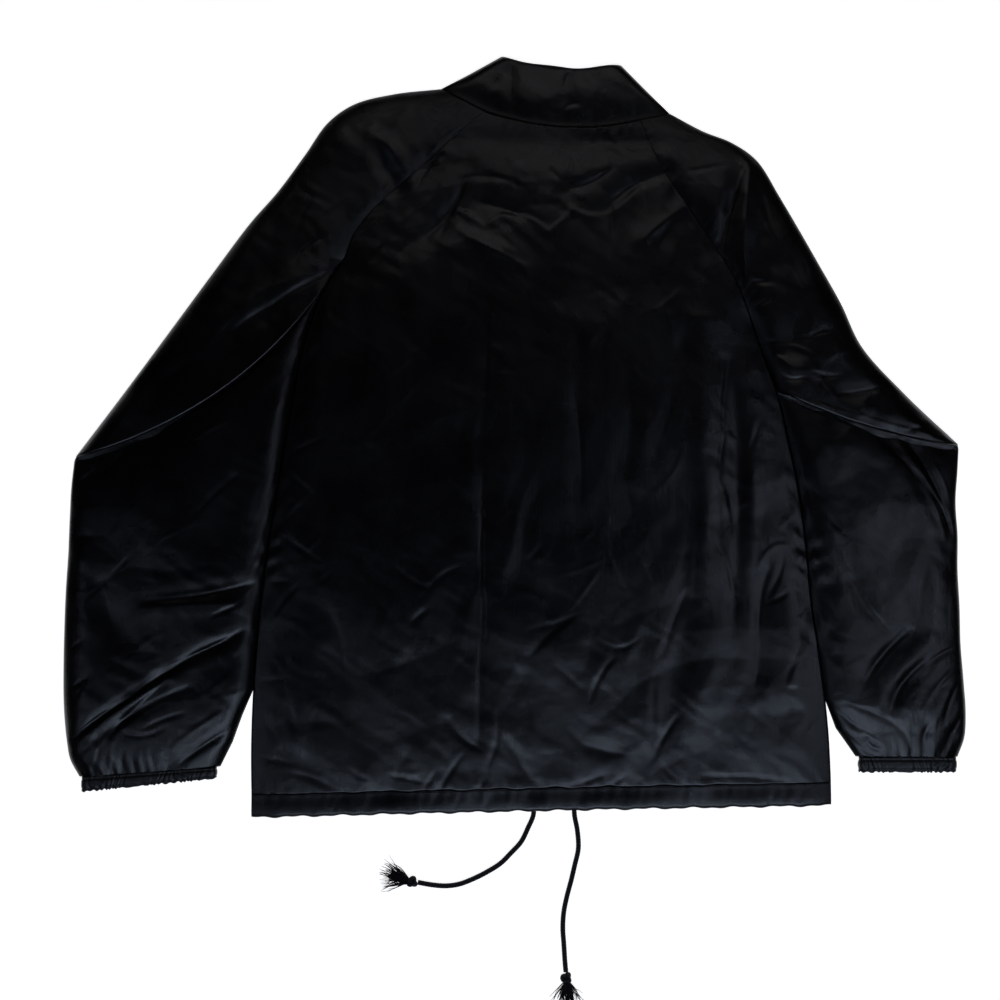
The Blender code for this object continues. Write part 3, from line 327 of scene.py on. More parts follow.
# The folds are as deep as they read in side light, and the cloth here lies a little flatter.
SOFT_SHARE = 0.5
CREASE_SHARE = 0.5
RIDGE_SHARE = 0.32
CREASE_REACH = 0.8
SOFT_FOLDS = [
    Fold(455, 139, 750, 141, 3, 9, -2.2),
    Fold(480, 163, 640, 165, 4, 12, 1.6),
    Fold(485, 300, 480, 745, 3, 5, -0.9),
    Fold(466, 400, 460, 720, 0, 14, 1.2),
    Fold(506, 390, 505, 720, 0, 14, 1.0),
    Fold(577, 335, 577, 530, 0, 8, -1.8),
    Fold(729, 362, 733, 630, -8, 8, -3.2),
    Fold(706, 320, 704, 600, 0, 13, 3.2),
    Fold(752, 400, 756, 560, 0, 10, 2.6),
    Fold(750, 160, 745, 282, 3, 9, 3.6),
    Fold(738, 172, 722, 248, 0, 9, -4.2),
    Fold(380, 152, 396, 190, 0, 9, -4.2),
    Fold(374, 136, 410, 180, -6, 8, 2.6),
    Fold(357, 274, 357, 640, 4, 15, -2.4),
    Fold(326, 330, 300, 560, 3, 13, 2.6),
    Fold(322, 605, 391, 789, 8, 13, -2.4),
    Fold(362, 600, 424, 768, 8, 17, 2.6),
    Fold(690, 556, 656, 758, -6, 13, -2.4),
    Fold(718, 640, 690, 760, 0, 18, 2.2),
    Fold(765, 568, 757, 690, 0, 9, -3.0),
    Fold(790, 590, 800, 700, 0, 12, 2.4),
    Fold(262, 748, 345, 790, -4, 11, -2.0),
    Fold(427, 236, 464, 186, 4, 8, -2.6),
    Fold(444, 246, 500, 252, 0, 12, 2.2),
    Fold(403, 251, 446, 216, 0, 8, -1.6),
    Fold(458, 228, 526, 266, 0, 9, 2.2),
    Fold(479, 202, 536, 224, -4, 8, -1.6),
    Fold(606, 212, 668, 172, -8, 8, -2.0),
    Fold(569, 189, 614, 166, 3, 8, -1.6),
    Fold(640, 240, 688, 203, 0, 9, 2.0),
    Fold(450, 724, 492, 750, 3, 9, -1.6),
    Fold(508, 742, 538, 790, 0, 8, -1.6),
    Fold(570, 726, 618, 754, 4, 9, -1.6),
    Fold(575, 590, 600, 700, 0, 24, 2.2),
    Fold(67, 744, 226, 641, -7, 6, -3.0),
    Fold(80, 752, 170, 684, 0, 5, -2.4),
    Fold(112, 716, 190, 668, 0, 9, 1.4),
    Fold(148, 598, 258, 581, 0, 7, -2.0),
    Fold(147, 611, 246, 604, 0, 9, 1.6),
    Fold(178, 659, 244, 630, 3, 8, -2.2),
    Fold(168, 765, 233, 728, 0, 6, -2.2),
    Fold(126, 720, 190, 687, 0, 7, -2.2),
    Fold(236, 333, 342, 270, 4, 9, -2.8),
    Fold(222, 318, 320, 258, 4, 10, 2.4),
    Fold(235, 250, 190, 380, 0, 14, 1.8),
    Fold(76, 485, 116, 463, 0, 7, -1.8),
    Fold(105, 585, 120, 640, 0, 12, -2.6),
    Fold(80, 560, 92, 660, 0, 14, 2.0),
    Fold(150, 510, 170, 570, 0, 22, 1.8),
    Fold(886, 436, 948, 545, -7, 8, -3.8),
    Fold(908, 440, 951, 533, -6, 7, -2.6),
    Fold(899, 448, 946, 540, -7, 7, 2.8),
    Fold(908, 634, 866, 680, 3, 9, -3.6),
    Fold(924, 660, 890, 708, 4, 9, -3.2),
    Fold(885, 690, 930, 640, 0, 9, 2.6),
    Fold(962, 692, 942, 720, 0, 8, -2.8),
    Fold(962, 716, 942, 750, 0, 8, -2.8),
    Fold(823, 694, 868, 733, 3, 8, -2.8),
    Fold(844, 733, 876, 754, 0, 7, -2.4),
    Fold(850, 568, 885, 634, 4, 9, -2.2),
    Fold(838, 395, 888, 385, 0, 8, -2.2),
    Fold(772, 366, 812, 372, 0, 9, 3.6),
    Fold(800, 386, 948, 434, 3, 9, 2.2),
    Fold(829, 514, 852, 540, 0, 8, -1.8),
    Fold(803, 480, 820, 508, 0, 8, -1.8),
    Fold(511, 62, 510, 112, 0, 8, -1.2),
    Fold(520, 64, 524, 110, 0, 7, 1.4),
    Fold(571, 72, 562, 96, 0, 6, -1.6),
    Fold(548, 109, 580, 104, -4, 6, -1.2),
]

# Crisp creases: lean makes one flank steeper than the other, from -1 to 1.
Crease = namedtuple("Crease", "x1 y1 x2 y2 bow width height lean")
CREASES = [
    # Across the shoulders.
    Crease(441, 155, 418, 187, 3, 3.0, -1.5, 0.3),
    Crease(463, 187, 427, 235, -5, 3.6, -2.2, 0.4),
    Crease(473, 198, 455, 221, 0, 2.8, -1.2, 0.0),
    Crease(436, 196, 404, 222, 3, 3.2, 1.2, 0.3),
    Crease(415, 236, 403, 251, 0, 3.0, -1.0, 0.0),
    Crease(384, 245, 372, 261, 0, 3.0, -1.0, 0.0),
    Crease(462, 178, 524, 187, -6, 3.4, -1.2, 0.3),
    Crease(479, 201, 534, 224, -3, 3.4, -1.2, 0.3),
    Crease(458, 228, 524, 264, 2, 3.4, 1.3, 0.3),
    Crease(452, 208, 484, 226, -3, 5.0, 2.2, 0.7),
    Crease(484, 226, 506, 214, -2, 4.6, 1.8, 0.7),
    Crease(506, 214, 548, 230, -4, 5.0, 2.2, 0.7),
    Crease(548, 230, 572, 208, 2, 4.6, 1.8, 0.6),
    Crease(572, 208, 604, 214, 3, 5.0, 2.0, 0.7),
    Crease(604, 214, 640, 182, 4, 5.0, 2.2, 0.7),
    Crease(569, 189, 614, 166, 4, 2.8, -1.3, 0.2),
    Crease(612, 201, 667, 173, -4, 3.4, -1.6, 0.3),
    Crease(689, 172, 725, 166, 0, 2.8, -1.0, 0.0),
    Crease(606, 193, 610, 248, -5, 3.4, -1.0, 0.3),
    Crease(643, 239, 685, 205, 0, 3.6, 1.3, 0.0),
    Crease(550, 170, 562, 182, 0, 3.0, -0.8, 0.0),
    Crease(500, 240, 516, 252, 2, 3.0, 1.0, 0.0),
    Crease(512, 262, 530, 276, -3, 3.0, 1.1, 0.0),
    Crease(496, 268, 512, 284, 2, 3.0, 0.9, 0.0),
    Crease(723, 257, 743, 289, -4, 3.0, 1.2, 0.3),
    Crease(753, 282, 770, 283, 0, 2.6, -1.2, 0.0),
    Crease(753, 308, 770, 299, 0, 2.6, -1.2, 0.0),
    Crease(756, 318, 776, 316, -2, 2.8, 1.0, 0.0),
    # The middle of the back.
    Crease(359, 398, 425, 343, 2, 2.6, 1.0, 0.0),
    Crease(442, 343, 482, 312, 0, 2.6, 0.6, 0.0),
    Crease(475, 353, 499, 346, 0, 2.6, 0.8, 0.0),
    Crease(517, 362, 534, 360, 0, 2.4, 0.6, 0.0),
    Crease(491, 372, 518, 376, 0, 2.6, 0.8, 0.0),
    Crease(568, 360, 578, 366, 0, 2.4, 0.7, 0.0),
    Crease(519, 395, 530, 404, 0, 2.4, 0.6, 0.0),
    Crease(400, 401, 420, 382, 0, 2.6, 0.9, 0.0),
    Crease(362, 441, 385, 418, 0, 2.6, 1.0, 0.0),
    Crease(425, 448, 476, 497, 3, 2.6, 1.2, 0.0),
    Crease(429, 375, 448, 372, 0, 2.4, 0.5, 0.0),
    Crease(585, 405, 597, 404, 0, 2.4, 0.7, 0.0),
    Crease(623, 322, 634, 318, 0, 2.8, 0.6, 0.0),
    Crease(654, 312, 680, 292, 0, 3.2, 0.9, 0.0),
    Crease(565, 300, 580, 323, 0, 3.0, 0.5, 0.0),
    Crease(502, 516, 514, 507, 0, 2.6, 0.9, 0.0),
    Crease(534, 518, 531, 530, 0, 2.6, -0.8, 0.0),
    Crease(580, 539, 594, 528, 2, 2.6, 0.8, 0.0),
    Crease(623, 467, 654, 493, 4, 3.4, 0.8, 0.4),
    Crease(654, 493, 683, 450, 4, 3.4, 0.8, 0.4),
    Crease(488, 300, 485, 420, 0, 2.4, -0.9, 0.0),
    Crease(577, 400, 582, 500, -2, 2.8, -1.2, 0.3),
    Crease(724, 432, 718, 478, 1, 2.6, -1.8, -0.4),
    Crease(718, 478, 731, 536, -3, 2.6, -1.8, 0.3),
    Crease(729, 366, 723, 430, 2, 3.0, -1.6, -0.3),
    Crease(726, 432, 749, 452, 0, 2.8, 1.2, 0.0),
    Crease(760, 421, 750, 452, 0, 2.8, -1.0, 0.0),
    Crease(736, 507, 749, 501, 0, 2.4, 0.8, 0.0),
    Crease(719, 543, 736, 610, -4, 2.8, -1.6, 0.3),
    Crease(727, 597, 735, 618, 0, 2.6, -1.0, 0.0),
    # The lower back, between the long valley and the right trough.
    Crease(484, 470, 485, 640, 2, 2.4, -1.9, 0.2),
    Crease(485, 600, 479, 742, 2, 2.4, -1.9, -0.2),
    Crease(449, 717, 481, 749, 5, 2.8, -1.6, 0.4),
    Crease(497, 713, 489, 765, -4, 2.8, -1.3, 0.2),
    Crease(511, 742, 539, 789, 4, 2.8, -1.5, -0.3),
    Crease(514, 660, 531, 724, -2, 3.0, -1.4, 0.3),
    Crease(557, 666, 584, 692, 0, 3.0, -1.1, 0.2),
    Crease(614, 658, 591, 701, 3, 2.8, -1.3, 0.3),
    Crease(639, 638, 599, 640, -9, 2.8, -1.2, -0.3),
    Crease(573, 617, 531, 656, 2, 4.5, -1.4, 0.6),
    Crease(530, 629, 573, 617, 1, 2.8, -0.9, 0.3),
    Crease(600, 570, 573, 607, 0, 2.8, 1.4, 0.4),
    Crease(606, 548, 627, 596, 2, 2.8, 1.3, -0.3),
    Crease(559, 574, 604, 558, 2, 2.8, 0.9, 0.3),
    Crease(571, 728, 590, 752, 1, 2.8, -1.4, 0.4),
    Crease(580, 742, 624, 754, 2, 3.0, -1.1, 0.4),
    Crease(678, 717, 654, 760, 2, 3.0, -1.4, 0.3),
    Crease(694, 540, 690, 600, 0, 4.0, 1.4, 0.6),
    Crease(686, 591, 662, 655, 2, 4.0, -1.6, -0.4),
    Crease(655, 679, 656, 754, 2, 4.0, -1.3, 0.3),
    Crease(557, 788, 602, 775, 2, 2.6, -1.3, 0.2),
    Crease(663, 766, 676, 781, 0, 2.6, -1.1, 0.0),
    Crease(412, 622, 427, 609, 0, 3.4, -1.3, 0.0),
    Crease(395, 565, 429, 587, 4, 2.8, -1.0, 0.3),
    Crease(460, 567, 431, 587, 3, 2.8, -1.0, 0.0),
    Crease(543, 544, 530, 560, 0, 2.8, -1.2, 0.0),
    Crease(551, 548, 541, 560, 0, 2.6, 0.9, 0.0),
    Crease(524, 592, 548, 604, -2, 2.8, 0.9, 0.2),
    Crease(640, 560, 656, 596, 0, 3.0, 0.8, 0.2),
    Crease(627, 700, 640, 760, 3, 5.0, 0.7, 0.4),
    # Above the hem casing.
    Crease(350, 769, 367, 779, 2, 2.6, -1.0, 0.0),
    Crease(390, 775, 423, 782, -1, 3.0, -1.3, 0.4),
    Crease(435, 773, 424, 789, 0, 2.6, -1.0, 0.0),
    Crease(462, 756, 437, 796, 1, 2.8, -1.3, 0.2),
    Crease(484, 778, 478, 794, 0, 2.6, -1.0, 0.0),
    Crease(610, 786, 626, 776, 0, 2.6, -0.9, 0.0),
    Crease(700, 776, 789, 781, -2, 3.2, -1.4, 0.5),
    Crease(640, 774, 650, 790, 0, 2.6, 0.8, 0.0),
    Crease(720, 770, 742, 786, 0, 2.8, 0.6, 0.0),
    Crease(290, 772, 340, 792, -3, 3.6, -1.0, 0.5),
    # Beside the left side seam.
    Crease(329, 572, 321, 583, 0, 2.4, -0.9, 0.0),
    Crease(300, 584, 273, 618, 2, 3.0, -1.4, 0.4),
    Crease(268, 582, 287, 582, 0, 2.8, -1.2, 0.0),
    Crease(266, 636, 256, 648, 0, 2.6, -1.2, 0.0),
    Crease(326, 606, 344, 668, -4, 6.0, -1.0, 0.4),
    Crease(256, 681, 281, 679, 0, 3.0, -1.0, 0.4),
    Crease(283, 684, 297, 736, 0, 4.0, -0.8, 0.2),
    Crease(262, 715, 274, 736, 0, 3.4, -0.8, 0.2),
    Crease(259, 757, 292, 763, 0, 3.4, -1.0, 0.5),
    Crease(318, 292, 330, 320, 0, 3.0, 1.2, 0.2),
    Crease(322, 345, 300, 372, 0, 3.0, -1.2, 0.2),
    Crease(331, 396, 296, 420, 2, 3.0, 1.2, 0.2),
    Crease(322, 440, 292, 452, 0, 3.0, -1.2, 0.2),
    Crease(286, 470, 318, 500, 0, 3.0, -1.3, 0.2),
    Crease(310, 492, 280, 520, 0, 2.8, 1.2, 0.2),
    Crease(276, 532, 318, 560, 0, 3.0, -1.3, 0.2),
    Crease(322, 536, 300, 556, 0, 2.8, 1.0, 0.2),
    # The pillow and troughs beside the right side seam.
    Crease(759, 567, 793, 544, -9, 3.6, 1.8, 0.4),
    Crease(793, 544, 808, 560, -2, 3.0, 1.3, 0.2),
    Crease(769, 569, 759, 634, 3, 3.0, -2.2, 0.3),
    Crease(784, 554, 768, 598, -3, 3.0, -1.4, 0.3),
    Crease(767, 602, 788, 592, 2, 2.6, -1.2, 0.0),
    Crease(758, 633, 755, 685, -3, 3.4, -1.4, 0.3),
    Crease(786, 687, 811, 686, 2, 3.0, -1.4, 0.5),
    Crease(807, 652, 786, 684, 4, 4.0, -1.2, 0.2),
    Crease(807, 651, 821, 663, 0, 2.4, 1.1, 0.0),
    Crease(803, 640, 818, 650, 0, 2.4, 0.9, 0.0),
    Crease(826, 708, 800, 740, 3, 5.0, -0.8, 0.4),
    Crease(804, 509, 780, 528, 2, 3.0, 1.4, 0.2),
    Crease(780, 528, 804, 545, 0, 2.8, -1.2, 0.2),
    Crease(806, 562, 792, 580, 0, 2.6, -1.2, 0.0),
    Crease(792, 580, 812, 598, 0, 2.6, 1.2, 0.0),
    Crease(812, 600, 798, 616, 0, 2.6, -1.2, 0.0),
    Crease(798, 616, 816, 634, 0, 2.6, 1.2, 0.0),
    Crease(775, 400, 790, 470, 2, 3.0, -0.9, 0.2),
    # Left sleeve: shoulder, upper arm and underarm.
    Crease(377, 138, 406, 178, -4, 3.2, 1.4, 0.3),
    Crease(352, 196, 322, 218, 2, 3.2, 0.9, 0.2),
    Crease(312, 200, 296, 236, 2, 3.2, -0.9, 0.2),
    Crease(298, 182, 276, 214, 0, 3.4, 0.8, 0.2),
    Crease(330, 236, 292, 262, 3, 3.2, -1.2, 0.2),
    Crease(344, 268, 274, 306, 3, 3.2, -2.0, 0.4),
    Crease(274, 306, 234, 334, 2, 3.4, -1.6, 0.4),
    Crease(290, 282, 250, 300, 2, 3.2, 1.2, 0.2),
    Crease(252, 300, 206, 352, 3, 3.6, 0.9, 0.2),
    Crease(236, 260, 218, 300, 0, 4.0, 0.7, 0.2),
    Crease(205, 318, 182, 350, 2, 3.6, -0.7, 0.2),
    Crease(160, 376, 120, 428, 3, 4.5, 0.8, 0.3),
    Crease(190, 360, 150, 410, 3, 4.5, -0.7, 0.3),
    Crease(95, 472, 81, 461, 0, 2.8, -1.2, 0.0),
    Crease(95, 472, 75, 485, 0, 2.8, -1.2, 0.2),
    Crease(114, 463, 95, 472, 0, 2.8, 1.0, 0.2),
    Crease(134, 448, 112, 466, 2, 3.2, -1.0, 0.2),
    # Left forearm.
    Crease(151, 600, 262, 580, 4, 3.4, -2.0, 0.5),
    Crease(147, 606, 243, 604, -3, 3.6, 1.3, 0.3),
    Crease(214, 615, 243, 602, 0, 2.8, -1.2, 0.2),
    Crease(179, 659, 243, 630, 2, 3.2, -1.4, 0.3),
    Crease(101, 588, 112, 638, -3, 4.2, -1.2, 0.4),
    Crease(116, 590, 124, 632, 3, 3.8, 0.9, 0.2),
    Crease(114, 574, 132, 554, 0, 3.4, -1.0, 0.2),
    Crease(160, 634, 130, 662, 3, 4.0, 1.0, 0.3),
    Crease(200, 522, 150, 548, 3, 4.5, 0.8, 0.3),
    Crease(238, 476, 200, 512, 2, 4.0, -0.8, 0.3),
    Crease(232, 420, 196, 440, 2, 3.6, 0.9, 0.3),
    Crease(67, 744, 134, 696, -3, 3.2, -2.4, 0.4),
    Crease(134, 696, 225, 641, -4, 3.2, -2.0, 0.4),
    Crease(90, 734, 158, 684, -3, 3.2, 1.6, 0.2),
    Crease(102, 749, 169, 681, -5, 3.0, -1.8, 0.4),
    Crease(126, 719, 190, 686, -3, 3.0, -1.4, 0.3),
    Crease(118, 716, 170, 674, -3, 3.0, 1.4, 0.2),
    Crease(145, 728, 185, 712, -2, 2.8, -1.3, 0.3),
    Crease(124, 731, 166, 726, 6, 2.8, -1.2, 0.2),
    Crease(178, 766, 232, 728, -2, 3.0, -1.6, 0.3),
    Crease(172, 748, 222, 712, -2, 3.4, 1.2, 0.3),
    Crease(99, 730, 92, 773, -5, 3.0, -1.3, 0.2),
    Crease(112, 742, 108, 774, -2, 2.8, 1.2, 0.2),
    Crease(124, 752, 122, 776, 0, 2.6, -1.1, 0.0),
    Crease(140, 750, 138, 774, 0, 2.6, 1.0, 0.0),
    Crease(152, 748, 154, 772, 0, 2.6, -1.2, 0.0),
    Crease(80, 700, 96, 664, 2, 4.0, 0.9, 0.3),
    Crease(70, 690, 88, 676, 0, 3.2, -0.9, 0.2),
    Crease(66, 652, 84, 640, 0, 3.2, -0.7, 0.2),
    Crease(194, 700, 232, 672, 2, 4.0, 0.9, 0.3),
    # Right sleeve: shoulder, upper arm and armpit.
    Crease(750, 162, 744, 279, 3, 3.4, 1.7, 0.3),
    Crease(742, 172, 722, 248, 2, 3.6, -2.0, 0.4),
    Crease(762, 196, 782, 250, 2, 4.0, -0.7, 0.2),
    Crease(790, 262, 812, 310, 2, 4.0, 0.8, 0.2),
    Crease(764, 352, 778, 392, 3, 3.2, -2.4, 0.3),
    Crease(766, 356, 795, 372, -5, 3.2, 2.0, 0.3),
    Crease(778, 372, 802, 378, 4, 3.0, -1.6, 0.3),
    Crease(758, 340, 778, 343, 0, 2.8, -1.2, 0.0),
    Crease(782, 346, 812, 356, -3, 3.0, 1.2, 0.2),
    Crease(813, 372, 839, 376, 2, 3.0, -1.3, 0.3),
    Crease(819, 381, 830, 407, 0, 3.0, -1.2, 0.2),
    Crease(839, 394, 886, 385, 2, 3.0, -1.5, 0.4),
    Crease(850, 350, 824, 362, 2, 3.2, 1.0, 0.2),
    Crease(832, 330, 806, 340, 2, 3.4, -0.8, 0.2),
    Crease(780, 389, 860, 416, 2, 3.4, 1.5, 0.5),
    Crease(860, 416, 956, 440, 2, 3.4, 1.5, 0.5),
    Crease(896, 404, 928, 428, 2, 3.6, -0.8, 0.2),
    Crease(902, 432, 928, 424, 0, 2.8, -1.1, 0.2),
    # Right forearm.
    Crease(884, 441, 959, 549, -9, 3.2, -2.2, 0.4),
    Crease(906, 441, 949, 532, -7, 3.2, -1.8, 0.4),
    Crease(895, 441, 945, 538, -7, 3.4, 1.5, 0.2),
    Crease(920, 446, 956, 520, -5, 3.2, 1.2, 0.2),
    Crease(830, 515, 850, 537, 2, 3.2, -1.2, 0.3),
    Crease(802, 480, 817, 507, 0, 3.2, -1.2, 0.3),
    Crease(836, 556, 889, 633, 3, 5.0, -1.2, 0.4),
    Crease(856, 548, 902, 612, 3, 5.0, 0.9, 0.3),
    Crease(906, 632, 866, 679, 3, 4.0, -2.2, 0.4),
    Crease(923, 661, 891, 707, 5, 4.0, -2.0, 0.4),
    Crease(927, 664, 957, 647, -3, 4.0, -1.6, 0.4),
    Crease(962, 663, 921, 710, 5, 3.2, 1.8, 0.3),
    Crease(964, 676, 943, 722, 4, 3.0, -1.6, 0.3),
    Crease(966, 710, 944, 754, 3, 3.0, -1.6, 0.3),
    Crease(960, 722, 948, 744, 2, 2.8, 1.3, 0.2),
    Crease(928, 724, 923, 749, 3, 3.0, -1.4, 0.2),
    Crease(936, 716, 932, 744, 2, 3.0, 1.2, 0.2),
    Crease(814, 692, 836, 695, 6, 3.0, -1.4, 0.2),
    Crease(848, 704, 898, 726, -3, 3.0, -1.4, 0.4),
    Crease(898, 726, 906, 744, -2, 3.0, -1.2, 0.2),
    Crease(823, 695, 867, 732, 3, 3.0, -1.6, 0.4),
    Crease(843, 729, 875, 756, 3, 2.8, -1.4, 0.3),
    Crease(866, 738, 880, 749, 3, 2.6, -1.2, 0.2),
    Crease(852, 720, 884, 744, 2, 2.8, 1.2, 0.2),
    Crease(904, 738, 908, 756, 0, 2.6, 1.0, 0.0),
    Crease(890, 740, 893, 756, 0, 2.6, -1.0, 0.0),
    Crease(818, 640, 838, 666, 2, 3.4, 1.0, 0.2),
    Crease(826, 596, 842, 624, 2, 4.0, -0.8, 0.2),
    # The collar.
    Crease(511, 66, 511, 110, 0, 3.2, -0.8, 0.6),
    Crease(489, 104, 497, 96, 0, 2.4, -0.9, 0.0),
    Crease(494, 88, 499, 78, 0, 2.4, -0.9, 0.0),
    Crease(548, 109, 563, 112, 3, 2.4, -1.2, 0.2),
    Crease(563, 112, 578, 104, -3, 2.4, -1.2, 0.2),
    Crease(571, 73, 566, 86, 2, 2.4, -1.0, 0.2),
    Crease(603, 84, 598, 116, 2, 3.2, -0.6, 0.2),
    Crease(640, 92, 628, 112, 0, 3.0, 0.6, 0.2),
]

# Where smaller creases like the drawn ones are scattered: a box of the layout, how many, and the heading
# of most of them in degrees from the x axis.
Patch = namedtuple("Patch", "x1 y1 x2 y2 count heading seed")
CRUMPLED = [
    Patch(380, 150, 480, 260, 26, -50, 1),
    Patch(480, 150, 700, 290, 34, -25, 2),
    Patch(350, 300, 560, 520, 26, -40, 3),
    Patch(560, 300, 720, 520, 18, 60, 4),
    Patch(380, 520, 520, 700, 26, 50, 5),
    Patch(500, 520, 700, 790, 60, 55, 6),
    Patch(270, 620, 460, 790, 22, 70, 7),
    Patch(690, 540, 825, 780, 26, 75, 8),
    Patch(700, 380, 800, 560, 22, 70, 9),
    Patch(280, 280, 345, 600, 34, -30, 10),
    Patch(140, 230, 330, 420, 26, -50, 11),
    Patch(80, 470, 250, 640, 26, -25, 12),
    Patch(75, 640, 240, 765, 40, -35, 13),
    Patch(745, 200, 860, 380, 24, 60, 14),
    Patch(800, 380, 940, 430, 14, 15, 15),
    Patch(800, 440, 950, 640, 26, 55, 16),
    Patch(830, 640, 960, 755, 34, -50, 17),
    Patch(460, 62, 650, 115, 14, 70, 18),
]
# The same for the faces that lie on the floor.
CRUMPLED_UNDER = [
    Patch(270, 280, 540, 790, 60, 70, 31),
    Patch(570, 280, 820, 790, 60, -70, 32),
    Patch(360, 150, 700, 290, 24, 20, 33),
    Patch(80, 230, 330, 470, 26, -45, 34),
    Patch(70, 470, 250, 760, 50, -60, 35),
    Patch(750, 200, 950, 430, 26, 50, 36),
    Patch(800, 430, 960, 750, 50, 65, 37),
]

COLLAR_LEFT_NECK = (440, 88)
COLLAR_RIGHT_NECK = (671, 113)
COLLAR_LEFT_TIP = (501, 56.5)
COLLAR_RIGHT_TIP = (622, 65)
COLLAR_TOP_DIP = 7.0
# Waves of the free edge, and the heights of the collar's ends, of its swell to the top and of its top edge.
COLLAR_WAVE = 0.8
COLLAR_WAVE_RUN = 9.0
COLLAR_END_HEIGHT = EDGE_HEIGHT + 0.4
COLLAR_END_ROLL = 14
COLLAR_END_SMOOTH = 8
COLLAR_TOP_SWELL = 1.2
COLLAR_TOP_DROP = 0.8
LOWEST_COLLAR = 2.6
COLLAR_LOFT = 8.6
COLLAR_POINTS = ((546, 138), (562, 140))
COLLAR_GAP = 0.15
# How far a piece's edge is laid under the one that it is sewn to.
LAP = 1.6
FRONT_NECK_Y = 192.0

STITCH_PITCH = 3.0
STITCH_LENGTH = 2.2
STITCH_FROM_SEAM = 2.0
THREAD_RADIUS = 0.26

LEFT_CORD = [
    (533.7, 804.6),
    (533.6, 815),
    (528, 829),
    (521, 843),
    (511, 854),
    (501, 864),
    (487, 873),
    (473, 880),
    (458, 885.5),
    (446, 887),
    (432, 886),
    (417.5, 883.5),
]
RIGHT_CORD = [
    (574.3, 804.6),
    (574.6, 815),
    (577.5, 831),
    (578.5, 850),
    (575, 866),
    (571.5, 881),
    (567, 898),
    (564, 913),
    (563, 930),
    (564, 945),
    (565, 961),
    (566, 973),
]


def place(x, y, z):
    """Metres in the frame from layout millimetres: x is centred, y is turned round, z is kept."""
    return np.stack(np.broadcast_arrays(x - CENTRE_X, CENTRE_Y - y, z), axis=-1) * MM


def camera_over_the_floor():
    """Camera that looks straight down on the square metre of floor that the photograph shows."""
    data = bpy.data.cameras.new("camera")
    data.lens = LENS
    data.sensor_width = SENSOR
    camera = bpy.data.objects.new("camera", data)
    height = PICTURE_WIDTH * LENS / SENSOR + BODY_LOFT * MM
    camera.location = Vector(place(*PICTURE_MIDDLE, 0)) + Vector((0, 0, height))
    bpy.context.scene.collection.objects.link(camera)
    bpy.context.scene.camera = camera


camera_over_the_floor()


def smooth_line(rows, spacing):
    """Points about `spacing` apart on the smooth curve through a table's rows.

    Each gap is a cubic, and its slope at a row is that of the parabola through the row and its neighbours.
    """
    table = np.array(rows, float)
    gaps = np.linalg.norm(np.diff(table, axis=0), axis=1)
    slopes = np.diff(table, axis=0) / gaps[:, None]
    before, after = gaps[:-1, None], gaps[1:, None]
    middle = (slopes[:-1] * after + slopes[1:] * before) / (before + after)
    tangents = np.vstack([slopes[:1], middle, slopes[-1:]])
    at = np.concatenate([[0], np.cumsum(gaps)])
    stations = np.linspace(0, at[-1], int(round(at[-1] / spacing)) + 1)
    cell = np.clip(np.searchsorted(at, stations, side="right") - 1, 0, len(gaps) - 1)
    reach = gaps[cell][:, None]
    t = ((stations - at[cell]) / gaps[cell])[:, None]
    ends = (2 * t**3 - 3 * t**2 + 1) * table[cell] + (3 * t**2 - 2 * t**3) * table[cell + 1]
    bends = (t**3 - 2 * t**2 + t) * tangents[cell] + (t**3 - t**2) * tangents[cell + 1]
    return ends + bends * reach


def edge_x(points, y):
    """x of a body line at each y."""
    curve = smooth_line(points, 1.0)
    return np.interp(y, curve[:, 0], curve[:, 1])


def ease(value):
    """0 below 0, 1 above 1 and a smooth step between."""
    t = np.clip(value, 0, 1)
    return t * t * (3 - 2 * t)


def beside_line(fold, x, y):
    """How far each place is to the side of a fold's bowed line and past its ends, and its share along."""
    run = np.array([fold.x2 - fold.x1, fold.y2 - fold.y1], float)
    length = np.hypot(*run)
    along, across = run / length, np.array([-run[1], run[0]]) / length
    dx, dy = x - fold.x1, y - fold.y1
    share = (dx * along[0] + dy * along[1]) / length
    inside = np.clip(share, 0, 1)
    bowed = fold.bow * 4 * inside * (1 - inside)
    return dx * across[0] + dy * across[1] - bowed, (share - inside) * length, inside


def around(fold, x, y, widths):
    """The places that a fold can reach: those within so many of its widths of the box round it."""
    reach = widths * fold.width + abs(fold.bow)
    level = (x > min(fold.x1, fold.x2) - reach) & (x < max(fold.x1, fold.x2) + reach)
    return level & (y > min(fold.y1, fold.y2) - reach) & (y < max(fold.y1, fold.y2) + reach)


def facet_heights(x, y, facets):
    """Flat three-cornered faces between corners of random height, on a warped and turned lattice."""
    size, turn = facets.size, math.radians(facets.turn)
    chance = np.random.default_rng(facets.seed)
    corner = chance.uniform(-facets.height, facets.height, (LATTICE, LATTICE))
    x, y = x * math.cos(turn) + y * math.sin(turn), y * math.cos(turn) - x * math.sin(turn)
    wave_x = 0.3 * np.sin(y / size * 1.3 + facets.seed) + 0.2 * np.sin((x + 2 * y) / size * 0.9)
    wave_y = 0.3 * np.sin(x / size * 1.1 + 2 * facets.seed) + 0.2 * np.sin((2 * x - y) / size * 0.8)
    u, v = x / size + wave_x + 0.5 * y / size, y / size + wave_y
    column, row = np.floor(u).astype(int), np.floor(v).astype(int)
    u, v = u - column, v - row
    row, below = row % LATTICE, (row + 1) % LATTICE
    column, beside = column % LATTICE, (column + 1) % LATTICE
    first, last = corner[row, column], corner[below, beside]
    on_row, on_column = corner[row, beside], corner[below, column]
    upper = first + u * (on_row - first) + v * (on_column - first)
    lower = last + (1 - u) * (on_column - last) + (1 - v) * (on_row - last)
    return np.where(u + v < 1, upper, lower)


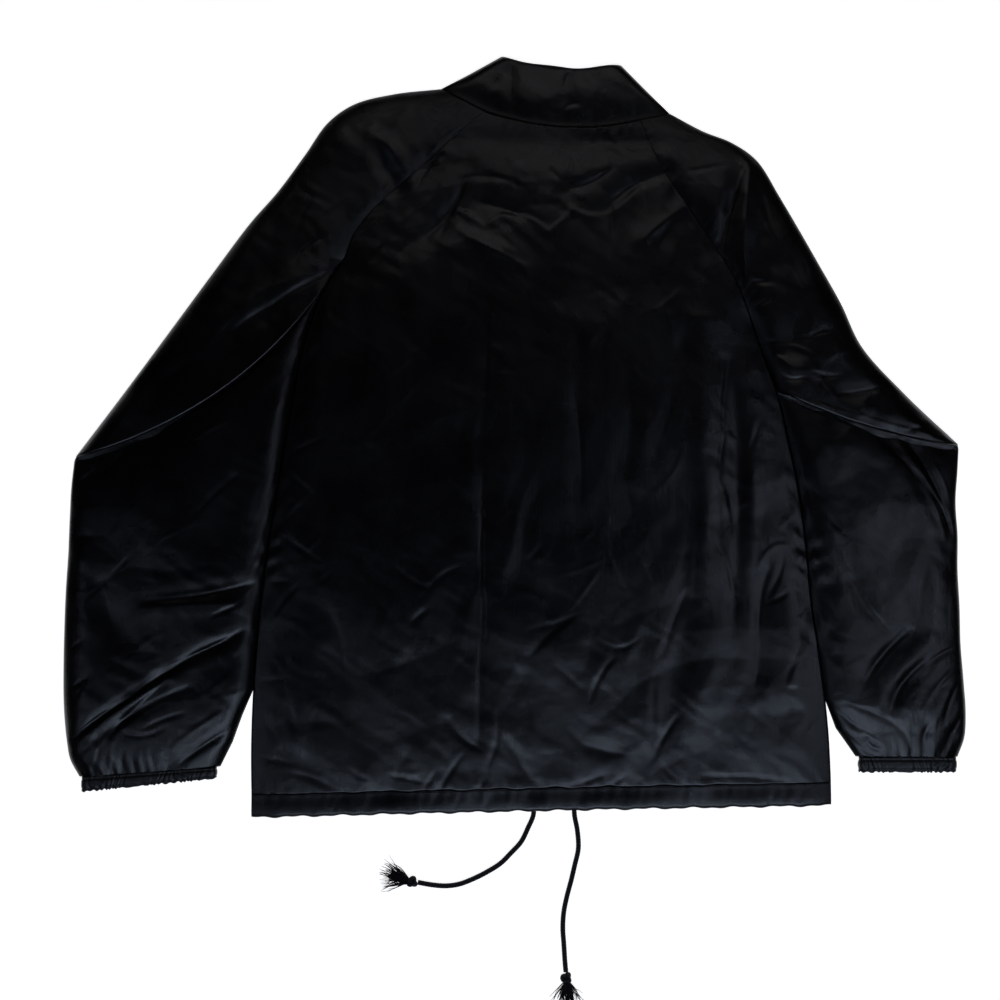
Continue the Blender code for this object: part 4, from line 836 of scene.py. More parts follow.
def relief(x, y, creases):
    """Height of the faint facets, the soft folds and the given creases.

    A fold is a Gaussian hump across its bowed line, and a crease is a narrower one with one steeper flank.
    Both are lower at their ends and die away past them. The faces on the floor have no soft folds.
    """
    x, y = np.broadcast_arrays(x, y)
    total = sum(facet_heights(x, y, facets) for facets in FACETS)
    for fold in SOFT_FOLDS if creases is not CREASES_UNDER else ():
        near = around(fold, x, y, 3)
        beside, beyond, inside = beside_line(fold, x[near], y[near])
        taper = 0.55 + 0.45 * np.sin(math.pi * inside)
        hump = np.exp(-(beside**2 + beyond**2) / fold.width**2)
        total[near] += SOFT_SHARE * fold.height * taper * hump
    for crease in creases:
        near = around(crease, x, y, 4)
        beside, beyond, inside = beside_line(crease, x[near], y[near])
        reach = CREASE_REACH * crease.width * (1 + crease.lean * np.tanh(beside))
        taper = 0.35 + 0.65 * np.sin(math.pi * inside) ** 0.8
        far = (beside / reach) ** 2 + (beyond / crease.width) ** 2
        share = CREASE_SHARE if crease.height < 0 else RIDGE_SHARE
        total[near] += share * crease.height * taper * np.exp(-far)
    return total


def scattered(patches, strength):
    """Small creases in each patch: mostly along its heading, some across it, uneven in length and depth."""
    found = []
    for patch in patches:
        chance = np.random.default_rng(patch.seed)
        for _ in range(patch.count):
            x, y = chance.uniform((patch.x1, patch.y1), (patch.x2, patch.y2))
            turn = 90 if chance.random() < 0.25 else 0
            heading = math.radians(patch.heading + turn + chance.normal(0, 22))
            length = chance.uniform(9, 38)
            dx, dy = math.cos(heading) * length / 2, math.sin(heading) * length / 2
            height = strength * chance.uniform(0.25, 0.8) * chance.choice([-1, 1])
            bow = chance.normal(0, 0.08) * length
            lean = chance.uniform(-0.4, 0.4)
            width = chance.uniform(2.2, 4.2)
            found.append(Crease(x - dx, y - dy, x + dx, y + dy, bow, width, height, lean))
    return found


CREASES_ABOVE = CREASES + scattered(CRUMPLED, 0.4)
CREASES_UNDER = scattered(CRUMPLED_UNDER, 1.1)


def joined(y, underarm):
    """1 along the raglan seam, 0 along the side of the body, with a smooth change at the underarm."""
    return 1 - ease((y - underarm + 18) / 34)


def seam_height(y, underarm):
    """Height of the upper layer where back and sleeve meet: raised on the raglan, low at the side."""
    return SIDE_SEAM_HEIGHT + (SEAM_HEIGHT - SIDE_SEAM_HEIGHT) * joined(y, underarm)


def keep_above(z, lowest):
    """z where it is well above the lowest height, and softly levelled out to it below."""
    soft = 0.8
    return lowest + soft * np.logaddexp(0, (z - lowest) / soft)


def seam_ripples(along, distance, puckers):
    """Small ripples that the thread draws along a seam, of uneven length, fading away from it."""
    waves = 2 * math.pi * along / puckers.length
    phase = waves + 1.3 * np.sin(along / 17.0) + 0.8 * np.sin(along / 7.3)
    return puckers.height * np.sin(phase + 0.25 * distance) * np.exp(-distance / puckers.reach)


def caught_faces(y, distance, caught):
    """Slanting faces where the cloth is caught between body and sleeve."""
    zone = ease((y - caught.top) / 40) * ease((caught.bottom - y) / 40)
    phase = 2 * math.pi * y / 31 + 2.3 * np.sin(y / 29.0) + 1.1 * np.sin(y / 12.7)
    slanted = np.sin(phase + 0.16 * distance) + 0.7 * np.sin(0.57 * phase - 0.24 * distance + 1)
    busy = 0.6 + 0.4 * np.sin(y / 43.0 + 1)
    return zone * busy * caught.height * slanted * np.exp(-((distance / 14) ** 2))


def skin_normals(grid, up_cell, ring=False):
    """Unit normals of a skin from its differences along rows and columns, looking up at up_cell."""
    down = np.gradient(grid, axis=0)
    if ring:
        along = np.roll(grid, -1, axis=1) - np.roll(grid, 1, axis=1)
    else:
        along = np.gradient(grid, axis=1)
    normals = np.cross(down, along)
    normals /= np.maximum(np.linalg.norm(normals, axis=-1, keepdims=True), 1e-12)
    return normals if normals[up_cell][2] > 0 else -normals


def lip_lines(count, first, last):
    """Line numbers of a skin with its lips, how deep each lies in the cloth and which way it is pushed."""
    index, depth, push = np.arange(count), np.zeros(count), np.zeros(count)
    if first:
        index = np.concatenate([np.arange(first)[::-1], [0], index])
        depth = np.concatenate([np.ones(first), [0.5], depth])
        push = np.concatenate([np.zeros(first), [-1], push])
    if last:
        index = np.concatenate([index, [count - 1], count - 1 - np.arange(last)])
        depth = np.concatenate([depth, [0.5], np.ones(last)])
        push = np.concatenate([push, [1], np.zeros(last)])
    return index, depth, push


def with_lips(grid, normals, thickness, rows=(0, 0), columns=(0, 0)):
    """A skin whose cut edges are turned in: a rounded nose, then the skin's own lines again further in.

    rows and columns say how many lines each of their two lips has, and thickness may differ by point.
    """
    row, row_depth, row_push = lip_lines(grid.shape[0], *rows)
    column, column_depth, column_push = lip_lines(grid.shape[1], *columns)
    pick = np.ix_(row, column)
    depth = np.maximum(row_depth[:, None], column_depth[None, :])[..., None]
    thick = np.broadcast_to(thickness, grid.shape[:2])[pick][..., None]
    out = grid[pick] - normals[pick] * thick * depth * MM
    for axis, push in ((0, row_push[:, None, None]), (1, column_push[None, :, None])):
        way = np.gradient(grid, axis=axis)
        way /= np.maximum(np.linalg.norm(way, axis=-1, keepdims=True), 1e-12)
        out = out + way[pick] * push * NOSE * MM
    return out


def grid_faces(rows, columns, ring=False):
    """Four-cornered faces of a grid of points numbered row by row."""
    last = columns if ring else columns - 1
    row, column = np.meshgrid(np.arange(rows - 1), np.arange(last), indexing="ij")
    a = row * columns + column
    b = row * columns + (column + 1) % columns
    return np.stack([a, b, b + columns, a + columns], axis=-1).reshape(-1, 4)


def make_object(name, points, faces, uv, material, nodes):
    """Object at the origin from points, faces and a place on the cloth (u, v in metres) for each point."""
    mesh = bpy.data.meshes.new(name)
    mesh.from_pydata(points.reshape(-1, 3).tolist(), [], faces)
    corners = np.empty(len(mesh.loops), np.int32)
    mesh.loops.foreach_get("vertex_index", corners)
    layer = mesh.uv_layers.new(name="cloth")
    layer.data.foreach_set("uv", uv.reshape(-1, 2)[corners].astype(np.float32).ravel())
    mesh.shade_smooth()
    mesh.materials.append(material)
    piece = bpy.data.objects.new(name, mesh)
    bpy.context.scene.collection.objects.link(piece)
    if nodes:
        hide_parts(*nodes)
    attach(piece, "root")
    return piece


def declare_cloth(grid, ring=False):
    """Closes a ring piece's grid by repeating its first column, and does nothing more with it."""
    if ring:
        grid = np.concatenate([grid, grid[:, :1]], axis=1)


def make_skin(name, grid, normals, material, nodes, ring=False):
    """Cloth piece from a grid: its faces look along the normals, and its UV is the run of the threads."""
    rows, columns = grid.shape[:2]
    faces = grid_faces(rows, columns, ring)
    corner = grid.reshape(-1, 3)[faces]
    looks = np.cross(corner[:, 1] - corner[:, 0], corner[:, 3] - corner[:, 0])
    if (looks * normals.reshape(-1, 3)[faces[:, 0]]).sum() < 0:
        faces = faces[:, ::-1]
    step_v = np.linalg.norm(np.diff(grid, axis=0), axis=-1).mean(axis=1)
    step_u = np.linalg.norm(np.diff(grid, axis=1), axis=-1).mean(axis=0)
    v = np.concatenate([[0], np.cumsum(step_v)])
    u = np.concatenate([[0], np.cumsum(step_u)])
    uv = np.stack(np.meshgrid(u, v), axis=-1)
    return make_object(name, grid, faces.tolist(), uv, material, nodes)


def lipped_skin(
    name, grid, normals, thickness, rows, columns, held, rests_on, material=None, slot="nylon", ring=False
):
    """Cloth piece from the grid of its outer face and the normals of that face, with its edges turned in.

    Its name is that of the solid that it stands for, and a last word for what it is.
    """
    solid = name.rsplit("_", 1)[0]
    full = with_lips(grid, normals, thickness, rows, columns)
    full[..., 2] = np.maximum(full[..., 2], 0)
    row, row_depth, _ = lip_lines(grid.shape[0], *rows)
    column, column_depth, _ = lip_lines(grid.shape[1], *columns)
    turned = (row_depth[:, None] == 1) | (column_depth[None, :] == 1)
    looks = np.where(turned[..., None], 0, normals[np.ix_(row, column)])
    piece = make_skin(name, full, looks, material or NYLON, [solid], ring)
    declare_cloth(full, ring)


def back_grid():
    """Outer face of the back: level rows from the neckline to the hem casing, between its two body lines.

    It stands BODY_LOFT over the floor, sinks exponentially to both body lines and carries the folds.
    """
    rows = smooth_line(BACK_ROWS, CELL * math.sqrt(2))
    left_y, right_y = rows[:, :1], rows[:, 1:]
    table = np.array(BACK_ROWS, float)
    row_share = np.interp(left_y, table[:, 0], np.linspace(0, 1, len(table)))
    left_x = edge_x(LEFT_EDGE, left_y) + SEWN_GAP
    right_x = edge_x(RIGHT_EDGE, right_y) - SEWN_GAP
    share = np.linspace(0, 1, int((right_x - left_x).max() / CELL) + 1)[None, :]
    x = left_x + (right_x - left_x) * share
    sag = NECK_SAG * (1 - ease(row_share / 0.3)) + HEM_SAG * ease((row_share - 0.8) / 0.2)
    y = left_y + (right_y - left_y) * share + sag * 4 * share * (1 - share)
    drawn = 0.7 * np.sin(x / 9.0) + 0.5 * np.sin(x / 4.3 + 1)
    y = y + drawn * np.exp(-(((y[-1:] - y) / 10) ** 2)) * np.sin(math.pi * share)

    height, held = np.full_like(x, BODY_LOFT), np.ones_like(x)
    for half, distance, line_y in ((LEFT, x - left_x, left_y), (RIGHT, right_x - x, right_y)):
        free = joined(line_y, half.underarm)
        height -= (BODY_LOFT - seam_height(line_y, half.underarm)) * np.exp(-distance / SIDE_ROLL)
        held *= 1 - (1 - free) * np.exp(-2 * (distance / SIDE_ROLL) ** 2)
        height += free * seam_ripples(line_y, distance, RAGLAN_PUCKERS)
        off_line = 1 - np.exp(-((distance / 4) ** 2))
        height += (1 - free) * off_line * caught_faces(line_y, distance, half.back_caught)
    height += held * relief(x, y, CREASES_ABOVE)
    from_neck = y - y[:1]
    from_hem = y[-1:] - y
    height += seam_ripples(x, from_neck, NECK_PUCKERS) - 0.2 * np.exp(-((from_hem / 3.0) ** 2))
    height += seam_ripples(x, from_hem, HEM_PUCKERS)
    over_placket = np.exp(-(((x - FRONT_CENTRE_X) / 34) ** 4))
    lowest = LOWEST_BACK + (LOWEST_OVER_PLACKET - LOWEST_BACK) * over_placket
    lowest = lowest - (lowest - SIDE_SEAM_HEIGHT + CLOTH) * (1 - held)
    return place(x, y, keep_above(height, lowest)), left_y, right_y


def make_back():
    """Back panel, whose turned edge is thicker at the sides, where it reaches down to the front's."""
    grid, left_y, right_y = back_grid()
    turned = np.full(grid.shape[:2], CLOTH)
    middle = grid.shape[1] // 2
    for half, columns, line_y in ((LEFT, slice(None, middle), left_y), (RIGHT, slice(middle, None), right_y)):
        side = 1 - joined(line_y, half.underarm)
        turned[:, columns] += side * (SIDE_SEAM_HEIGHT - 2 * CLOTH - SEAM_GAP)
    normals = skin_normals(grid, (60, 80))
    below = ["front_left_panel", "front_right_panel"]
    lipped_skin("back_panel", grid, normals, turned, (5, 4), (4, 4), "laid", below)
    return grid, normals


def section_line(outer_x, outer_y, inner_x, inner_y, bow, share):
    """Points across a sleeve section, a straight chord whose middle bows to the hem, and the hem's way."""
    run_x, run_y = inner_x - outer_x, inner_y - outer_y
    length = np.hypot(run_x, run_y)
    across_x, across_y = -run_y / length, run_x / length
    to_hem = np.sign(across_y)
    arch = bow * 4 * share * (1 - share) * to_hem
    x = outer_x + run_x * share + across_x * arch
    y = outer_y + run_y * share + across_y * arch
    return x, y, across_x * to_hem, across_y * to_hem


def sleeve_sections(half):
    """Sections of a sleeve from neck to cuff, with the elbow's roll between its two tables, and its end."""
    upper, lower = smooth_line(half.above, SECTION_STEP), smooth_line(half.below, SECTION_STEP)
    roll = smooth_line(ELBOW_ROLL, 0.8)[1:-1]
    fallen = roll[:, :1] / ELBOW_ROLL[-1].fall
    between = upper[-1] + (lower[0] - upper[-1]) * fallen
    forward = np.concatenate([np.zeros(len(upper)), roll[:, 1], np.zeros(len(lower))])
    return np.vstack([upper, between, lower]), forward[:, None], len(upper) + len(between)


def ragged(along):
    """Uneven wander, in millimetres, of the lower edge of the elbow's roll."""
    return 2.2 * np.sin(along / 13.0 + 1) + 1.3 * np.sin(along / 5.7) + 3.0 * np.sin(along / 31.0)


def ribs(across):
    """Gathers that elastic draws in cloth: a wave of uneven length whose ridges are wider than its pits."""
    phase = 2 * math.pi * across / CUFF_RIB + 1.6 * np.sin(across / 5.3) + 2.3 * np.sin(across / 19.0)
    wave = np.sin(phase) * (0.6 + 0.4 * np.sin(across / 11.7)) + 0.5 * np.sin(0.43 * phase + 1.0)
    return np.clip(wave, -1.2, 0.9)


def sleeve_grid(half):
    """Outer face of a sleeve: from the seam on the upper layer, round the folded edge, to the lower seam.

    Across each section the height rises as a quarter ellipse from the folded edge and sinks exponentially
    to the body line.
    """
    sections, forward, roll_end = sleeve_sections(half)
    outer_x, outer_y, top_y, under_y, bow, loft = (column[:, None] for column in sections.T)
    turn = np.interp(top_y, [p.y for p in half.cuff_turn], [p.x for p in half.cuff_turn])
    top_x = edge_x(half.edge, top_y) + half.way * (SEWN_GAP + turn)
    under_x = edge_x(half.edge, under_y) + half.way * (SEWN_GAP + turn)
    width = np.hypot(top_x - outer_x, top_y - outer_y)

    step = np.linspace(0, 1, UPPER_COLUMNS)[None, :]
    share = 1 - (step - CROWDED_AT_EDGES * np.sin(2 * math.pi * step) / (2 * math.pi))
    x, y, hem_x, hem_y = section_line(outer_x, outer_y, top_x, top_y, bow, share)
    from_outer, from_seam = share * width, (1 - share) * width
    reach = forward * ease(from_outer / 16) * ease(from_seam / 34)
    near_roll = np.exp(-(((np.arange(len(sections))[:, None] - roll_end + 5) / 7) ** 2))
    reach = reach + near_roll * ragged(from_outer) * ease(from_outer / 30) * ease(from_seam / 40)
    x, y = x + hem_x * reach, y + hem_y * reach
    rise = np.sqrt(1 - (1 - np.clip(from_outer / EDGE_ROLL, 0, 1)) ** 2)
    free = joined(top_y, half.underarm)
    low = seam_height(top_y, half.underarm)
    roll_reach = SIDE_ROLL - TIGHTER_AT_SIDE * (1 - free) - TIGHTER_AT_CUFF * ease(turn / 12)
    height = EDGE_HEIGHT + (loft - EDGE_HEIGHT) * rise - (loft - low) * np.exp(-from_seam / roll_reach)
    held = 1 - np.exp(-((from_outer / 10) ** 2))
    held = held * (1 - (1 - free) * np.exp(-2 * (from_seam / SIDE_ROLL) ** 2))
    to_cuff = np.hypot(x - x[-1:], y - y[-1:])
    across_end = share * width[-1]
    gathered = 0.25 * ribs(across_end) * np.exp(-to_cuff / 5)
    gathered += 0.4 * ribs(across_end / 2.3 + 3 + to_cuff / 14) * np.exp(-to_cuff / 16)
    height += held * (relief(x, y, CREASES_ABOVE) + gathered)
    height += free * seam_ripples(top_y, from_seam, RAGLAN_PUCKERS)
    off_line = 1 - np.exp(-((from_seam / 4) ** 2))
    height += (1 - free) * caught_faces(top_y, from_seam, half.sleeve_caught) * off_line
    lowest = EDGE_HEIGHT + (LOWEST_BACK - EDGE_HEIGHT) * rise * held
    z = np.where(from_outer <= 0, EDGE_HEIGHT, keep_above(height, lowest - 0.4 * (1 - held)))
    top = place(x, y, z)

    angle = np.radians([22.5, 45, 67.5])[None, :]
    share = EDGE_HEIGHT * (1 - np.cos(angle)) / width
    x, y, _, _ = section_line(outer_x, outer_y, under_x, under_y, bow, share)
    fold = place(x, y, EDGE_HEIGHT * (1 - np.sin(angle)))

    start = EDGE_HEIGHT / width
    share = start + (1 - start) * np.linspace(0, 1, UNDER_COLUMNS)[None, :] ** 1.2
    x, y, _, _ = section_line(outer_x, outer_y, under_x, under_y, bow, share)
    inside = ease(share * width / 14) * ease((1 - share) * width / 10)
    near_cuff = np.exp(-np.hypot(x - x[-1:], y - y[-1:]) / 16)
    lift = relief(x, y, CREASES_UNDER) + 0.6 * (1 + ribs(share * width[-1])) * near_cuff
    under = place(x, y, inside * np.clip(lift, 0, UNDER_LIFT))
    return np.concatenate([top, fold, under], axis=1), top_y


def make_sleeve(half):
    """Sleeve panel, thicker at its seam, where its turned edge reaches down to the lower layer."""
    grid, top_y = sleeve_grid(half)
    turned = np.full(grid.shape[:2], CLOTH)
    turned[:, :6] += (1 - joined(top_y, half.underarm)) * (SIDE_SEAM_HEIGHT - SEAM_GAP - CLOTH)
    normals = skin_normals(grid, (60, 60))
    lipped_skin(f"sleeve_{half.name}_panel", grid, normals, turned, (4, 4), (4, 3), "folded", ["floor"])
    return grid


def make_cuff(half, sleeve):
    """Elastic cuff: a flat oval ring across the sleeve's end, drawn into ribs and held by two stitch lines.

    Its section is two straight runs joined by half circles; the ribs move it along its own normal.
    """
    end = sleeve[-1] / MM
    outer, inner = end[UPPER_COLUMNS - 1], end[0]
    first = np.array([outer[0] + CENTRE_X, CENTRE_Y - outer[1]])
    last = np.array([inner[0] + CENTRE_X, CENTRE_Y - inner[1]])
    width = np.hypot(*(last - first))
    radius = CUFF_HEIGHT / 2
    run = np.linspace(radius, width - radius, int((width - 2 * radius) / 0.8))
    arc = np.linspace(math.pi / 2, -math.pi / 2, 12)[1:-1]
    across = np.concatenate([run, width - radius + radius * np.cos(arc), run[::-1]])
    across = np.concatenate([across, radius - radius * np.cos(arc)])
    high = np.concatenate([0 * run + radius, radius * np.sin(arc), 0 * run - radius, -radius * np.sin(arc)])
    look_across = np.concatenate([0 * run, np.cos(arc), 0 * run, -np.cos(arc)])
    look_up = np.concatenate([0 * run + 1, np.sin(arc), 0 * run - 1, -np.sin(arc)])
    length = np.concatenate([[0], np.cumsum(np.hypot(np.diff(across), np.diff(high)))])

    v = np.linspace(0, 1, CUFF_ROWS)[:, None]
    wave = ribs(length[None, :] + 3.4 * np.sin(2.6 * v + length[None, :] / 7.0))
    puff = 0.9 * np.sin(math.pi * v) ** 0.6
    for line in CUFF_STITCHES:
        puff = puff - line.drawn * np.exp(-(((v - line.at) / 0.08) ** 2))
    move = 0.26 * wave * (0.7 + 0.3 * np.sin(math.pi * v)) + puff - 0.5
    a = 0.02 * width + 0.96 * (across + look_across * move)
    z = np.clip(radius + high + look_up * move, 0.0, None)
    drop = SEAM_GAP + (CUFF_DEPTH - SEAM_GAP) * v + 0.8 * wave * v**4
    x = first[0] + (last[0] - first[0]) * a / width
    y = first[1] + (last[1] - first[1]) * a / width + drop + half.cuff_slant * a / width * v
    grid = place(x, y, z)
    normals = skin_normals(grid, (12, len(run) // 2), ring=True)
    look = {"material": CUFF_NYLON, "slot": "cuff", "ring": True}
    name = f"cuff_{half.name}_ring"
    lipped_skin(name, grid, normals, CUFF_CLOTH, (3, 12), (0, 0), "gathered", ["floor"], **look)


def front_hem_y():
    """Where the fronts meet their hem casing at the front centre: a little above the back's own line."""
    share = (FRONT_CENTRE_X - LEFT_EDGE[-1].x) / (RIGHT_EDGE[-1].x - LEFT_EDGE[-1].x)
    last = BACK_ROWS[-1]
    return last.left_y + (last.right_y - last.left_y) * share - FRONT_HEM_RISE


def front_lines(half):
    """x and y of one front's grid: rows from the neck to the hem, columns from the side to the free edge.

    The first seven rows of both tables are on the raglan seam, and the others beside the body.
    """
    raglan = smooth_line(half.above[:7], FRONT_STEP)[:, 3]
    body = smooth_line(BACK_ROWS[6:], FRONT_STEP)[1:, half.column]
    body = body - FRONT_HEM_RISE * np.linspace(0, 1, len(body))
    edge_y = np.concatenate([raglan, body])[:, None]
    outer_x = edge_x(half.edge, edge_y) - half.way * SEWN_GAP
    row_share = np.linspace(0, 1, len(edge_y))[:, None]
    stand_y = FRONT_NECK_Y + (front_hem_y() - FRONT_NECK_Y) * row_share
    even = np.linspace(0, 1, FRONT_COLUMNS)[None, :]
    fade = 1 - ease(row_share / 0.35)
    across = even + (1 - np.cos(even * math.pi / 2) - even) * fade
    down = even + (np.sin(even * math.pi / 2) - even) * fade
    rising, risen, end = half.stand
    x = outer_x + (rising - outer_x) * across
    y = edge_y + (stand_y - edge_y) * down
    turn = np.linspace(0, 1, 5)[None, 1:]
    overlap = np.linspace(0, 1, 10)[None, 1:]
    x_more = np.concatenate([rising + (risen - rising) * turn, risen + (end - risen) * overlap], axis=1)
    lifted = np.concatenate([np.zeros((1, FRONT_COLUMNS)), ease(turn), np.ones_like(overlap)], axis=1)
    x = np.hstack([x, np.repeat(x_more, len(x), axis=0)])
    y = np.hstack([y, np.repeat(stand_y, x_more.shape[1], axis=1)])
    return x, y, lifted


def make_front(half, x, y, lifted):
    """One front, face down on the floor, with faint creases and its button stand lifted over the other."""
    inside = ease(np.arange(x.shape[1])[None, :] / 4) * (1 - ease(lifted * 3))
    inside = inside * ease((y[-1:] - y) / 12) * ease((y - y[:1]) / 12)
    z = inside * np.clip(relief(x, y, CREASES_UNDER), 0, UNDER_LIFT) + lifted * half.lift
    grid = place(x, y, z)
    down = -skin_normals(grid, (20, 20))
    below = ["floor"] if half is LEFT else ["floor", "front_left_panel"]
    lipped_skin(f"front_{half.name}_panel", grid, down, CLOTH, (3, 1), (3, 3), "laid", below)


def make_front_casing(half, x, y, lifted):
    """Turned hem of one front with the drawcord's channel, a doubled strip with small puckers."""
    drop = np.linspace(SEAM_GAP, HEM_DEPTH, CASING_ROWS)[:, None]
    v = (drop - SEAM_GAP) / (HEM_DEPTH - SEAM_GAP)
    grid_x, grid_y = np.repeat(x[-1:], CASING_ROWS, axis=0), y[-1:] + drop
    pucker = np.clip(hem_puckers(grid_x, v), 0, UNDER_LIFT) * (1 - lifted)
    grid = place(grid_x, grid_y, lifted * half.lift + pucker)
    down = -skin_normals(grid, (6, 20))
    name = f"hem_casing_front_{half.name}_strip"
    lipped_skin(name, grid, down, CASING_CLOTH, (1, 6), (2, 2), "folded", ["floor"])


def hem_puckers(x, v):
    """Short slanting puckers that the drawcord's channel makes every 20 to 30 mm, deepest in mid channel."""
    phase = math.pi * (x + 9 * v) / 13.5 + 1.7 * np.sin(x / 41) + 1.1 * np.sin(x / 17)
    other = math.pi * (x - 6 * v) / 9.2 + 1.9 * np.sin(x / 29) + 1.3 * np.sin(x / 11)
    pits = -0.3 * np.clip(np.cos(phase), 0, 1) ** 3 - 0.25 * np.clip(np.cos(other), 0, 1) ** 4
    busy = 0.55 + 0.45 * np.sin(x / 37 + 2 * np.sin(x / 63))
    return (pits * busy + 0.15 * np.sin(phase * 0.5)) * np.sin(math.pi * np.clip(v, 0, 1)) ** 0.7


def from_edge_of(edge, x, z, distance, reach):
    """Heights that begin just under the edge of the piece sewn on and go over to z within the reach."""
    at_edge = np.interp(x, edge[:, 0] / MM + CENTRE_X, edge[:, 2] / MM)
    away = np.clip(distance, 0, None)
    dip = 0.2 * np.exp(-(((distance + LAP) / 1.2) ** 2))
    return z + (at_edge - z) * np.exp(-((away / reach) ** 2)) - dip


def make_back_casing(back_points):
    """Hem casing of the back: a doubled strip under the back's last row, rounded at the hem fold.

    Its height is a low half sine across it, with the puckers, and sinks exponentially to both side seams.
    """
    last = BACK_ROWS[-1]
    left_x = edge_x(LEFT_EDGE, last.left_y) + SEWN_GAP
    right_x = edge_x(RIGHT_EDGE, last.right_y) - SEWN_GAP
    share = np.linspace(0, 1, BACK_CASING_COLUMNS)[None, :]
    v = np.linspace(0, 1, BACK_CASING_ROWS)[:, None]
    across = right_x - left_x
    x = left_x + across * share + 1.4 * (3 * v - 1.5) * np.sin(math.pi * share)
    y = last.left_y + (last.right_y - last.left_y) * share + HEM_SAG * 4 * share * (1 - share)
    wander = 0.6 * np.sin(x / 7.0) + 0.5 * np.sin(x / 3.1 + 1)
    y = y + HEM_DEPTH * v - LAP * (1 - v) + wander * v**3
    ends = np.exp(-share * across / SIDE_ROLL) + np.exp(-(1 - share) * across / SIDE_ROLL)
    z = HEM_HEIGHT + 0.4 * np.sin(math.pi * v) + hem_puckers(x, v) - (HEM_HEIGHT - HEM_END_HEIGHT) * ends
    z = z - HEM_FOLD_DROP * ease((v - 0.9) / 0.1)
    grid = place(x, y, from_edge_of(back_points[-1], x, z, v * HEM_DEPTH - LAP, 11))
    normals = skin_normals(grid, (8, 200))
    below = ["hem_casing_front_left_strip", "hem_casing_front_right_strip"]
    lipped_skin("hem_casing_back_strip", grid, normals, CASING_CLOTH, (3, 10), (3, 3), "folded", below)
    return grid, normals


def neckline(x):
    """Layout y of the collar seam across the back: two short straight runs and the back's arc between."""
    left, right = LEFT_EDGE[0], RIGHT_EDGE[0]
    share = np.clip((x - left.x) / (right.x - left.x), 0, 1)
    arc = left.y + (right.y - left.y) * share + NECK_SAG * 4 * share * (1 - share)
    left_slope = (left.y - COLLAR_LEFT_NECK[1]) / (left.x - COLLAR_LEFT_NECK[0])
    right_slope = (COLLAR_RIGHT_NECK[1] - right.y) / (COLLAR_RIGHT_NECK[0] - right.x)
    left_run = COLLAR_LEFT_NECK[1] + left_slope * (x - COLLAR_LEFT_NECK[0])
    right_run = right.y + right_slope * (x - right.x)
    return np.where(x < left.x, left_run, np.where(x > right.x, right_run, arc))


def resampled(x, y, count):
    """x and y at `count` places an even distance apart along a line of points."""
    reach = np.concatenate([[0], np.cumsum(np.hypot(np.diff(x), np.diff(y)))])
    stations = np.linspace(0, reach[-1], count)
    return np.interp(stations, reach, x), np.interp(stations, reach, y)


